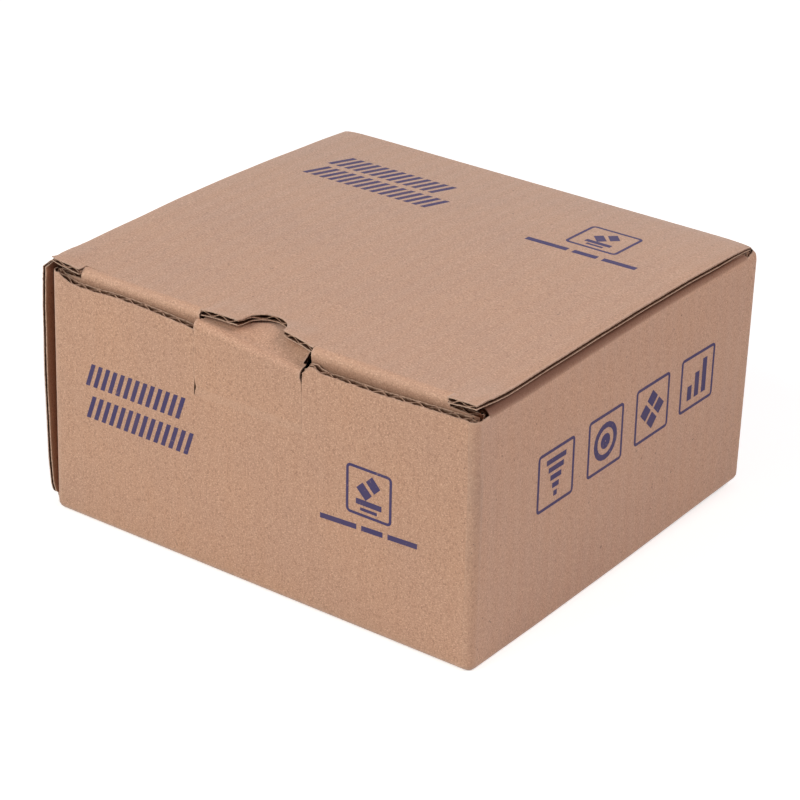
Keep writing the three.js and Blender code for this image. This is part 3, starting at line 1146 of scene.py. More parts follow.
@dataclass
class Dress:
    """All finishes of the carton."""

    outside: bpy.types.Material = field(init=False)
    inside: bpy.types.Material = field(init=False)
    fluting: bpy.types.Material = field(init=False)
    cut: bpy.types.Material = field(init=False)
    ink: bpy.types.Material = field(init=False)
    glue: bpy.types.Material = field(init=False)

    def __post_init__(self) -> None:
        """Makes the materials."""
        # The seen side is polished on the paper machine: matt brown, with a nap that pales it
        # at a low angle and the waves of the flutes just showing
        self.outside = KraftPaper(
            "machine-finished kraft liner, outside",
            ground="#BC9073", cloud="#B68D74", dark_fibre="#9A7056", light_fibre="#D6AE92",
            fleck="#7A5844", worn="#C6A28A", washboard=0.035, nap=0.40, gloss=0.5,
        ).make()
        # The inside is unpolished, with no nap; its darker, redder colour is painted shade for the
        # gaps and hollows where it is seen
        self.inside = KraftPaper(
            "machine-finished kraft liner, inside",
            ground="#8E6046", cloud="#946650", dark_fibre="#7C5038", light_fibre="#A27256",
            fleck="#5E3E2A", worn="#A88268", washboard=0.035,
        ).make()
        # Fluting is thin and rough; its near-black brown is painted shade, far darker than the
        # paper, so that the flutes read as dark arches
        self.fluting = KraftPaper(
            "semi-chemical fluting paper",
            ground="#472818", cloud="#472818", dark_fibre="#361C12", light_fibre="#5C3826",
            fleck="#33200F", worn="#B0907C", fibre_mm=0.8, hair_mm=0.56, frayed=0.6,
            gloss=0.1,
        ).make()
        # A die leaves the liner's edge as a pale line with darker tufts
        self.cut = KraftPaper(
            "die-cut edge of kraft liner",
            ground="#A98772", cloud="#A98772", dark_fibre="#7A5A48", light_fibre="#CDB4A2",
            fleck="#6A4C3A", worn="#BFA28E", fibre_mm=0.6, hair_mm=0.42, frayed=0.85,
        ).make()
        # Thin ink on brown paper: a dull blue that the fibres break up
        self.ink = PrintingInk(
            "flexographic ink, dark blue", ground="#3F3762", cloud="#4A3F62", liner="#A08278"
        ).make()
        self.glue = HotMeltGlue().make()

    def papers(self) -> tuple[bpy.types.Material, ...]:
        """Gives the board's four materials in the order that Sheet numbers them."""
        return self.outside, self.inside, self.fluting, self.cut


@dataclass
class Fold:
    """A horizontal fold that bends between two bodies, in three papers."""

    name: str
    turn: Turn
    axis: Axis
    start: float
    end: float
    bodies: tuple[str, str]
    node: str
    seed: float = 1.0
    shape: Callable[[Array], Array] | None = None
    raw: Raw = ENDS
    # A paler tone over the whole fold: crease wear, and on the lid's rounded folds also a painted
    # highlight
    pale: float = 0.15
    crush_at: Callable[[Array, Array], Array] | None = None
    ease: float = 0.0

    def build(self, dress: Dress) -> None:
        """Builds the fold's papers and hides the crease's solid.

        Args:
            dress: The board's finishes.
        """
        for layer in Layer:
            inner = layer is Layer.INNER
            section = self.turn.chord(BOARD, self.ease) if inner else self.turn
            ease = 0.0 if inner else self.ease
            step = section.length / (INNER_STEPS if inner else FOLD_STEPS)
            piece = Sheet(
                f"{self.name}_{layer.value}",
                laid(section, self.axis),
                [Patch(self.start, self.end, -ease, section.length + ease, self.raw, step)],
                seed=self.seed,
                pale=self.pale,
                layers=(layer,),
                shape=self.shape,
                crush_at=self.crush_at,
            ).build(dress)
            ends = self.ends(section, BOARD if inner else 0.0, ease)
            settle_bend(piece, self.bodies, self.node, *ends)

    def ends(self, section: Turn | Chord, depth: float, ease: float) -> list[Vector]:
        """Finds where the bend starts and ends.

        Args:
            section: The arc, or the strip across its inside.
            depth: How deep in the board the bend is followed.
            ease: How far the bend runs on at each end.

        Returns:
            The two places, in metres.
        """
        runs = np.array([-ease, section.length + ease])
        middle = np.full(2, (self.start + self.end) / 2)
        places = laid(section, self.axis)(middle, runs, np.full(2, depth))
        if self.shape is not None:
            places = self.shape(places)
        return [Vector(place) for place in gather(places)]


@dataclass
class Lid:
    """The lid's panel with its notch and slit ears, its rear fold and its tuck."""

    half: float = 80.0
    ear: float = 68.9
    fold_end: float = 68.6
    ear_front: float = -73.8
    ear_setback: float = 1.0
    ear_slants: Pair = (0.1, 0.7)
    slot_left: float = -21.9
    slot_right: float = 19.9
    notch: Profile = Profile((
        (-21.9, -71.3), (-14.1, -71.1), (-8.0, -70.9), (-7.5, -69.7), (-7.2, -67.3),
        (-6.9, -65.7), (-5.4, -63.6), (-3.8, -62.4), (-2.0, -61.9), (0.0, -61.8),
        (1.8, -62.2), (3.6, -63.1), (5.2, -64.4), (6.2, -66.1), (6.6, -67.9),
        (7.6, -68.4), (13.7, -69.7), (19.9, -71.0),
    ))
    core: float = 132.0
    tuck_end: float = 23.3
    tuck_fold_depth: float = 2.86
    tuck_half: float = 77.4
    tuck_corner: float = 4.0
    tuck_corner_rise: float = 9.0
    slot_corner: float = 4.0
    slot_corner_rise: float = 3.0
    stub: float = 1.0
    stub_edge: float = 2.6
    stub_step: float = 0.05
    shoulder: float = 0.6
    shoulder_fall: float = 0.6
    shoulder_run: float = 9.0
    rim_crush: float = 0.12
    rim_pinch: float = 0.2
    rim_reach: float = 1.5
    side_crush: float = 0.3
    side_reach: float = 5.0
    rear_reach: float = 7.0
    ear_crush: float = 0.14
    ear_reach: float = 4.0
    ear_crush_x: Pair = (69.0, 9.0)
    # How much painted shade the tuck flap takes at its right end and towards its lower edge, with
    # the pairs where each starts and grows
    end_shade: float = 0.75
    end_shade_x: Pair = (75.8, 1.6)
    edge_shade: float = 0.35
    edge_shade_z: Pair = (-82.6, 3.0)

    @property
    def rear_turn(self) -> Turn:
        """The fold between the rear wall and the lid."""
        return Turn((CREASE_Y, TOP - FOLD_RADIUS), FOLD_RADIUS, 0.0, QUARTER)

    @property
    def tuck_turn(self) -> Turn:
        """The fold between the lid and the tuck flaps."""
        middle = (CREASE_FRONT_Y, TOP - FOLD_RADIUS)
        return Turn(middle, FOLD_RADIUS, QUARTER, QUARTER + TUCK_LEAN)

    @staticmethod
    def crown(places: Array) -> Array:
        """Arches the lid a little between its two folds.

        Args:
            places: Places in mm.

        Returns:
            The places, lifted.
        """
        made = places.copy()
        x, y = places[:, 0], places[:, 1]
        depth = CREASE_Y - CREASE_FRONT_Y
        share = np.clip((CREASE_Y - y) / depth, 0.0, 1.0)
        peak = (CREASE_Y - (PEAK_Y + PEAK_SKEW * x / RIGHT)) / depth
        made[:, 2] += CROWN * np.sin(math.pi * share ** (math.log(0.5) / np.log(peak)))
        made[:, 2] += CORNER_RISE * ramp(-y, *CORNER_Y) * ramp(np.abs(x), *CORNER_X)
        made[:, 2] += NOTCH_RISE * ramp(-y, *NOTCH_Y) * ramp(-np.abs(x - NOTCH_MIDDLE), *NOTCH_X)
        made[:, 2] += LEFT_RISE * ramp(-y, *LEFT_Y) * ramp(-x, *LEFT_X)
        tip = np.exp(-(((x - EAR_TIP_X) / EAR_TIP_WIDTH) ** 2))
        made[:, 2] += EAR_TIP_RISE * ramp(-y, *EAR_TIP_Y) * tip
        right, ears = ramp(x, *INSET_X), ramp(-y, *EAR_INSET_Y)
        made[:, 0] -= (RIGHT_INSET * share + EAR_INSET * ears) * right
        made[:, 0] -= REAR_INSET * ramp(y, *REAR_INSET_Y) * right
        made[:, 0] += EAR_INSET * ears * ramp(-x, *INSET_X)
        return made

    @staticmethod
    def rear_fold(places: Array) -> Array:
        """Leads the rear fold from the rear wall, out of true, to the lid.

        Args:
            places: Places in mm.

        Returns:
            The places, moved.
        """
        made = warp(places)
        part = smooth((TOP - places[:, 2]) / FOLD_RADIUS)
        made[:, 0] -= REAR_FOLD_INSET * part * ramp(places[:, 0], *INSET_X)
        return made

    def slot_edge(self, along: Array) -> Array:
        """Gives the run to the cut edge of the slot and the notch."""
        return CREASE_Y - self.notch(along)

    def ear_edge(self, along: Array) -> Array:
        """Gives the run to the cut front edge of the two ears.

        Args:
            along: Places along the edge or fold, in mm.

        Returns:
            The run to the edge, in mm.
        """
        slant = np.clip((np.abs(along) - self.ear) / (self.half - self.ear), 0.0, 1.0)
        left, right = self.ear_slants
        end = CREASE_Y - self.ear_front - self.ear_setback
        return end + slant * np.where(along > 0, right, left)

    def edge_crush(self, along: Array, across: Array) -> Array:
        """Says how far the board is crushed along its side edges and at the ears' corners.

        Args:
            along: Places along the edge or fold, in mm.
            across: Places across it, in mm.

        Returns:
            The share of the thickness lost.
        """
        near = self.half - np.abs(along)
        side = self.side_crush * fade(near, self.side_reach) * fade(across, self.rear_reach)
        front = np.exp(-(((CREASE_Y - across - self.ear_front) / self.ear_reach) ** 2))
        rim = self.rim_crush * fade(near, self.rim_reach)
        return rim + side + self.ear_crush * front * ramp(np.abs(along), *self.ear_crush_x)

    def pinch(self, along: Array, _across: Array) -> Array:
        """Says how far the rear fold is crushed at its two ends.

        Args:
            along: Places along the edge or fold, in mm.
            _across: Places across it, which make no difference here.

        Returns:
            The share of the thickness lost.
        """
        near = self.half - np.abs(along)
        rim = self.rim_pinch * fade(near, self.rim_reach)
        return rim + self.side_crush * fade(near, self.side_reach)

    def build(self, dress: Dress) -> None:
        """Builds the lid's pieces.

        Args:
            dress: The board's finishes.
        """
        self.panel().lay(dress, "lid", "lid_panel")
        Fold(
            "lid_rear_fold", self.rear_turn, Axis.X, -self.half, self.half,
            ("sleeve", "lid"), "crease_lid_rear",
            seed=3.0, shape=self.rear_fold, crush_at=self.pinch,
        ).build(dress)
        for name, low, high in (
            ("left", -self.fold_end, self.slot_left),
            ("right", self.slot_right, self.fold_end),
        ):
            Fold(
                f"tuck_fold_{name}", self.tuck_turn, Axis.X, low, high,
                ("lid", "tuck"), f"crease_tuck_{name}", seed=4.0,
            ).build(dress)
            self.tuck(name, low, high).lay(dress, "tuck", f"tuck_flap_{name}")

    def panel(self) -> Sheet:
        """Gives the panel with its slot, its notch and its two ears.

        Returns:
            The board, not yet built.
        """
        core, front = self.core, CREASE_Y - CREASE_FRONT_Y
        ear = Raw.HIGH | ENDS
        return Sheet(
            "lid_board",
            laid(self.rear_turn, Axis.X, self.rear_turn.length),
            [
                Patch(-self.half, self.half, 0.0, core, ENDS, step=6.0),
                Patch(-self.half, self.slot_left, core, front, Raw.START, step=2.5),
                Patch(self.slot_left, self.slot_right, core, self.slot_edge, Raw.HIGH),
                Patch(self.slot_right, self.half, core, front, Raw.END, step=2.5),
                Patch(-self.half, -self.ear, front, self.ear_edge, ear, step=1.0),
                Patch(self.ear, self.half, front, self.ear_edge, ear, step=1.0),
            ],
            cuts=(
                -self.ear, -self.fold_end, self.slot_left, self.slot_right,
                self.fold_end, self.ear,
                *[x for x, _ in self.notch.pairs],
            ),
            phase=-QUARTER - 2 * math.pi * self.half / FLUTE_PITCH,
            crush=0.10,
            crush_at=self.edge_crush,
            shape=self.crown,
            seed=2.0,
        )

    def shaded(self, places: Array) -> Array:
        """Says how much painted shade the tuck flap takes: much at its outer right end, and some
        towards its lower edge behind the front wall's top.
        """
        end = self.end_shade * ramp(places[:, 0], *self.end_shade_x)
        return np.maximum(end, self.edge_shade * ramp(-places[:, 2], *self.edge_shade_z))

    def shoulder_edge(self, along: Array) -> Array:
        """Gives a tuck flap's outer upper edge, which falls away under the longer right ear."""
        share = np.clip((along - self.fold_end) / self.shoulder_run, 0.0, 1.0)
        return self.shoulder + self.shoulder_fall * share

    def tuck_edge(self, along: Array) -> Array:
        """Gives the free edge of a tuck flap, with its rounded corners.

        Args:
            along: Places along the edge or fold, in mm.

        Returns:
            The run from the fold to the edge, in mm.
        """
        far = np.abs(along) - (self.tuck_half - self.tuck_corner)
        near = np.where(along < 0, self.slot_left - along, along - self.slot_right)
        rise = np.where(far > 0, self.tuck_corner_rise * (far / self.tuck_corner) ** 2, 0.0)
        inner = 1 - np.clip(near, 0, self.slot_corner) / self.slot_corner
        rise += np.where(near < self.slot_corner, self.slot_corner_rise * inner**2, 0.0)
        length = self.tuck_end - self.tuck_fold_depth
        return np.where(np.abs(along) > self.tuck_half, self.stub_edge, length - rise)

    def tuck(self, name: str, low: float, high: float) -> Sheet:
        """Gives one of the two tuck flaps.

        Args:
            name: Which of the two.
            low: Start of its fold.
            high: End of its fold.

        Returns:
            The flap's board.
        """
        outer = self.tuck_half + self.stub
        ends = (-outer, low) if low < 0 else (high, outer)
        steps = [
            way * (self.tuck_half + step) for way in (-1, 1) for step in (0.0, self.stub_step)
        ]
        return Sheet(
            f"tuck_board_{name}",
            laid(self.tuck_turn, Axis.X, self.tuck_turn.length),
            [
                Patch(low, high, 0.0, self.shoulder, Raw.NONE, step=0.3),
                Patch(low, high, self.shoulder, self.tuck_edge, Raw.HIGH),
                Patch(*ends, self.shoulder_edge, self.tuck_edge, Raw.HIGH | Raw.LOW),
            ],
            cuts=(*ends, low, high, *steps),
            seed=5.0,
            # painted shade on the tuck flap
            painted_shade=self.shaded,
        )


@dataclass
class Sleeve:
    """The four standing walls, the glued lap and the standing corner folds."""

    half: float = 76.9
    foot: float = FOLD_RADIUS
    rear_left_end: float = -79.6
    right_front_end: float = -71.1
    shoulder_start: float = -67.5
    shoulder_end: float = 68.0
    ear_end: float = -50.2
    left_fold_start: float = -49.9
    left_end: float = 71.1
    rear_ear_top: float = 81.1
    lap_end: float = -49.2
    slit: float = 0.06
    seam: float = 0.3
    step: float = 0.01
    curl_foot: float = 3.2
    flare_run: float = 24.0
    torn_crush: float = 0.4
    torn_middle: float = 19.5
    torn_reach: float = 3.0
    torn_z: Pair = (70.0, 6.0)
    scuffed: float = 0.25
    scuff_foot: Pair = (15.0, 30.0)
    scuff_top: Pair = (-84.0, 12.0)
    front_top: Profile = Profile((
        (-76.9, 82.0), (-75.2, 80.9), (-72.8, 80.0), (-70.4, 79.4), (-60.6, 79.5),
        (-54.0, 80.0), (-43.0, 79.9), (-35.2, 79.5), (-26.3, 79.0), (-22.8, 78.7),
        (18.4, 76.6), (19.2, 77.4), (20.0, 78.9), (22.6, 79.3), (24.4, 78.5),
        (29.8, 78.6), (46.2, 78.5), (63.5, 79.3), (75.8, 79.8), (79.3, 79.8),
    ))
    front_bevel: Profile = Profile((
        (-30.0, 0.5), (0.0, 0.5), (18.0, 1.1), (23.0, 1.1), (27.0, 0.3), (45.0, 0.6),
    ))
    right_top: Profile = Profile((
        (-71.4, 79.8), (-67.5, 79.8), (-67.49, 78.8), (-50.0, 78.2), (-27.0, 78.8),
        (-7.0, 79.4), (18.0, 80.2), (41.0, 80.6), (68.0, 81.3), (68.01, 81.7), (73.0, 82.6),
    ))
    rear_right_top: Profile = Profile(((0.0, 82.6), (2.6, 83.4)))
    left_top: Profile = Profile(((-74.2, 82.4), (-71.0, 83.2), (-62.0, 83.0), (-49.9, 83.1)))
    left_foot: Profile = Profile(((-74.2, 5.6), (-70.2, 2.4), (-49.9, 2.4)))
    left_flare: Profile = Profile((
        (0.0, -1.7), (4.0, -1.3), (8.0, 0.5), (20.0, 1.1), (45.0, 1.3), (70.0, 0.75),
        (84.0, -0.1),
    ))
    lap_top: Profile = Profile(((-71.1, 77.6), (-49.2, 75.0)))
    lap_foot: Profile = Profile(((-71.1, 6.0), (-49.2, 9.0)))

    def flare(self, places: Array) -> Array:
        """Bends the left wall's front end a little away from the lap.

        Args:
            places: Places in mm.

        Returns:
            The places, moved.
        """
        made = places.copy()
        share = np.clip((self.ear_end - made[:, 1]) / self.flare_run, 0.0, 1.0) ** 2
        made[:, 0] -= share * self.left_flare(made[:, 2])
        return made

    def torn(self, along: Array, across: Array) -> Array:
        """Says how far the front wall is crushed beside the tongue's right slit."""
        near = fade(np.abs(along - self.torn_middle), self.torn_reach)
        return self.torn_crush * near * ramp(across, *self.torn_z)

    def scuff(self, places: Array) -> Array:
        """Says how grey the front right fold is, which rubs against other goods."""
        height = places[:, 2]
        return self.scuffed * ramp(height, *self.scuff_foot) * ramp(-height, *self.scuff_top)

    @staticmethod
    def curl(centre: Pair, radius: float) -> Callable[[Array], Array]:
        """Makes the shape of a corner that curls in at the floor.

        Args:
            centre: Centre of the corner's arc in plan.
            radius: Radius of the corner in plan.

        Returns:
            A function from places to places.
        """
        core = max(radius - FOLD_RADIUS, 0.0)

        def shape(places: Array) -> Array:
            """Curls the places below the fold line.

            Args:
                places: Places in mm.

            Returns:
                The places, moved.
            """
            made = places.copy()
            angle = np.clip((FOLD_RADIUS - made[:, 2]) / FOLD_RADIUS, 0.0, 1.4)
            off = made[:, :2] - np.array(centre)
            reach = np.linalg.norm(off, axis=1)
            new = core + (reach - core) * np.cos(angle)
            low = angle > 0
            made[low, :2] = np.array(centre) + off[low] * (new / reach)[low, None]
            made[low, 2] = (FOLD_RADIUS - (reach - core) * np.sin(angle))[low]
            return warp(made)

        return shape

    def front(self) -> Sheet:
        """Gives the front wall, cut open above the tongue's foot.

        Returns:
            The board, not yet built.
        """
        cut = (TONGUE_LEFT - self.slit, TONGUE_RIGHT + self.slit)
        return Sheet(
            "front_board",
            flat(Axis.X, FRONT, 1.0),
            [
                Patch(-self.half, self.half, self.foot, TONGUE_FOOT),
                Patch(-self.half, cut[0], TONGUE_FOOT, self.front_top, Raw.HIGH | Raw.END),
                Patch(cut[1], self.half, TONGUE_FOOT, self.front_top, Raw.HIGH | Raw.START),
            ],
            cuts=cut,
            bevel=self.front_bevel,
            wear=0.3,
            crush=0.05,
            crush_at=self.torn,
            shape=warp,
            seed=6.0,
        )

    def right(self) -> Sheet:
        """Gives the right wall, folded into the dust flap between its two cut ends.

        Returns:
            The board, not yet built.
        """
        front, rear = self.shoulder_start, self.shoulder_end
        end = REAR - REAR_RIGHT_RADIUS - self.seam
        top = self.right_top
        return Sheet(
            "right_board",
            flat(Axis.Y, RIGHT, -1.0),
            [
                Patch(self.right_front_end, front, self.foot, top, Raw.HIGH),
                Patch(front + self.step, rear, self.foot, top, step=4.0),
                Patch(rear + self.step, end, self.foot, top, Raw.HIGH),
            ],
            shape=warp,
            seed=7.0,
        )

    def rear(self) -> Sheet:
        """Gives the rear wall, folded into the lid.

        Returns:
            The board, not yet built.
        """
        end = RIGHT - REAR_RIGHT_RADIUS - self.seam
        return Sheet(
            "rear_board",
            flat(Axis.X, REAR, -1.0),
            [Patch(self.rear_left_end, end, self.foot, TOP - FOLD_RADIUS)],
            shape=warp,
            seed=8.0,
        )

    def left(self) -> Sheet:
        """Gives the left wall, with its raw front edge and its ear beside the dust flap.

        Returns:
            The board, not yet built.
        """
        fold_line = DUST_TOP - FOLD_RADIUS
        ear = Raw.HIGH | ENDS
        return Sheet(
            "left_board",
            flat(Axis.Y, LEFT, 1.0),
            [
                Patch(FRONT, self.left_fold_start, self.left_foot, fold_line,
                      Raw.START | Raw.LOW),
                Patch(FRONT, self.ear_end, fold_line, self.left_top, ear),
                Patch(self.left_fold_start, self.shoulder_end, self.foot, fold_line),
                Patch(self.shoulder_end + self.step, self.left_end, self.foot,
                      self.rear_ear_top, Raw.HIGH),
            ],
            cuts=(self.ear_end,),
            shape=self.flare,
            crush=0.32,
            seed=9.0,
        )

    def lap(self) -> Sheet:
        """Gives the lap that is glued inside the left wall.

        Returns:
            The board, not yet built.
        """
        raw = Raw.LOW | Raw.HIGH | Raw.END
        return Sheet(
            "glue_lap_board",
            flat(Axis.Y, FRONT_LEFT, 1.0),
            [Patch(self.right_front_end, self.lap_end, self.lap_foot, self.lap_top, raw)],
            shape=warp,
            seed=10.0,
        )

    def corner(
        self, name: str, face: Pair, radius: float, outward: float, top: Bound
    ) -> Sheet:
        """Gives a standing corner fold, which curls in at its foot.

        Args:
            name: Which of the four.
            face: The two outer faces that meet there.
            radius: The corner's radius.
            outward: The direction in which its arc starts.
            top: Its upper edge.

        Returns:
            The corner's board.
        """
        centre = tuple(value - math.copysign(radius, value) for value in face)
        turn = Turn(centre, radius, outward, QUARTER)
        ends = (-self.seam, turn.length + self.seam)
        return Sheet(
            f"corner_{name}_fold",
            laid(turn, Axis.Z),
            [
                Patch(*ends, self.foot - self.curl_foot, self.foot, Raw.LOW, step=0.45),
                Patch(*ends, self.foot, top, Raw.HIGH),
            ],
            column=0.35,
            pale=PALE_CREASE,
            shape=self.curl(centre, radius),
            smudge=self.scuff if name == "front_right" else None,
            seed=11.0 + centre[0],
        )

    def build(self, dress: Dress) -> None:
        """Builds the walls and corners.

        Args:
            dress: The board's finishes.
        """
        self.front().lay(dress, "sleeve", "front_wall")
        self.right().lay(dress, "sleeve", "right_wall")
        self.rear().lay(dress, "sleeve", "rear_wall")
        self.left().lay(dress, "sleeve", "left_wall")
        self.lap().lay(dress, "sleeve", "glue_flap")
        for name, face, radius, outward, top in (
            ("front_left", (FRONT_LEFT, FRONT), CORNER_RADIUS, math.pi, 81.9),
            ("front_right", (RIGHT, FRONT), CORNER_RADIUS, -QUARTER, 79.7),
            ("rear_right", (RIGHT, REAR), REAR_RIGHT_RADIUS, 0.0, self.rear_right_top),
            ("rear_left", (LEFT, REAR), CORNER_RADIUS, QUARTER, self.rear_ear_top),
        ):
            corner = self.corner(name, face, radius, outward, top)
            corner.lay(dress, "sleeve", f"corner_{name}", KRAFT_CREASE)


@dataclass
class LockTongue:
    """The tongue cut out of the front wall, with its bend and its folded tip."""

    tip_reach: float = 12.3
    tip_half: float = 19.0
    tip_corner: float = 4.0
    slope: float = 3.9
    left_rise: float = 0.3
    tip_rise: float = 0.75
    held_y: Pair = (1.5, 8.5)
    pull: float = 0.8
    pull_z: Pair = (72.3, 4.0)
    pull_across: Pair = (0.8, 0.2)
    nick: float = 0.7
    nick_z: float = 60.2
    nick_height: float = 1.5
    nick_share: float = 0.1
    ease: float = 0.9
    crease_depth: float = 1.1
    middle: float = (TONGUE_LEFT + TONGUE_RIGHT) / 2

    @property
    def turn(self) -> Turn:
        """The fold between the tip and the tongue."""
        return Turn(
            (FRONT + FOLD_RADIUS, TONGUE_TOP - FOLD_RADIUS), FOLD_RADIUS, QUARTER, QUARTER
        )

    def sag(self, places: Array) -> Array:
        """Lets the tongue's upper end hang lower on the right.

        Args:
            places: Places in mm.

        Returns:
            The places, moved.
        """
        made = places.copy()
        across = (made[:, 0] - TONGUE_LEFT) / (TONGUE_RIGHT - TONGUE_LEFT)
        rise = smooth((made[:, 2] - TONGUE_FOOT) / (TONGUE_TOP - TONGUE_FOOT))
        held = 1.0 - ramp(made[:, 1] - FRONT, *self.held_y)
        fall = (self.left_rise - self.slope * across) * rise * held
        made[:, 2] += fall + self.tip_rise * (1.0 - held)
        pull = self.pull * ramp(made[:, 2], *self.pull_z) * ramp(across, *self.pull_across)
        nick = self.nick * np.exp(-(((made[:, 2] - self.nick_z) / self.nick_height) ** 2))
        made[:, 0] += nick * smooth((self.nick_share - across) / self.nick_share) - pull
        return made

    def tip_edge(self, along: Array) -> Array:
        """Gives the tip's free edge, with its rounded corners.

        Args:
            along: Places along the edge or fold, in mm.

        Returns:
            The run to the edge, in mm.
        """
        radius = self.tip_corner
        far = np.abs(along - self.middle) - (self.tip_half - radius)
        chord = np.sqrt(np.maximum(radius**2 - np.clip(far, 0, radius) ** 2, 0))
        return -self.tip_reach + np.where(far > 0, radius - chord, 0.0)

    def build(self, dress: Dress) -> None:
        """Builds the tongue's pieces.

        Args:
            dress: The board's finishes.
        """
        width = (TONGUE_LEFT, TONGUE_RIGHT)
        top = TONGUE_TOP - FOLD_RADIUS - self.ease
        Sheet(
            "tongue_board",
            flat(Axis.X, FRONT, 1.0),
            [Patch(*width, TONGUE_BEND, top, ENDS, step=3.0)],
            shape=self.sag,
            wear=0.2,
            seed=12.0,
        ).lay(dress, "tongue", "lock_tongue")
        bend = Sheet(
            "tongue_bend",
            flat(Axis.X, FRONT, 1.0),
            [Patch(*width, TONGUE_FOOT, TONGUE_BEND, ENDS, step=0.3)],
            shape=self.sag,
            pale=0.2,
            wear=0.3,
            seed=12.0,
        ).build(dress)
        places = [(self.middle, FRONT + self.crease_depth, z) for z in (TONGUE_FOOT, TONGUE_BEND)]
        ends = gather(np.array(places)).tolist()
        settle_bend(bend, ("sleeve", "tongue"), "crease_tongue_base", *ends)
        Fold(
            "tongue_top_fold", self.turn, Axis.X, *width, ("tip", "tongue"),
            "crease_tongue_top", seed=13.0, shape=self.sag, pale=0.0, ease=self.ease,
        ).build(dress)
        tip = (self.middle - self.tip_half, self.middle + self.tip_half)
        Sheet(
            "tongue_tip_board",
            laid(self.turn, Axis.X),
            [Patch(*tip, self.tip_edge, -self.ease, Raw.LOW | ENDS, step=3.0)],
            shape=self.sag,
            seed=14.0,
        ).lay(dress, "tip", "tongue_tip")


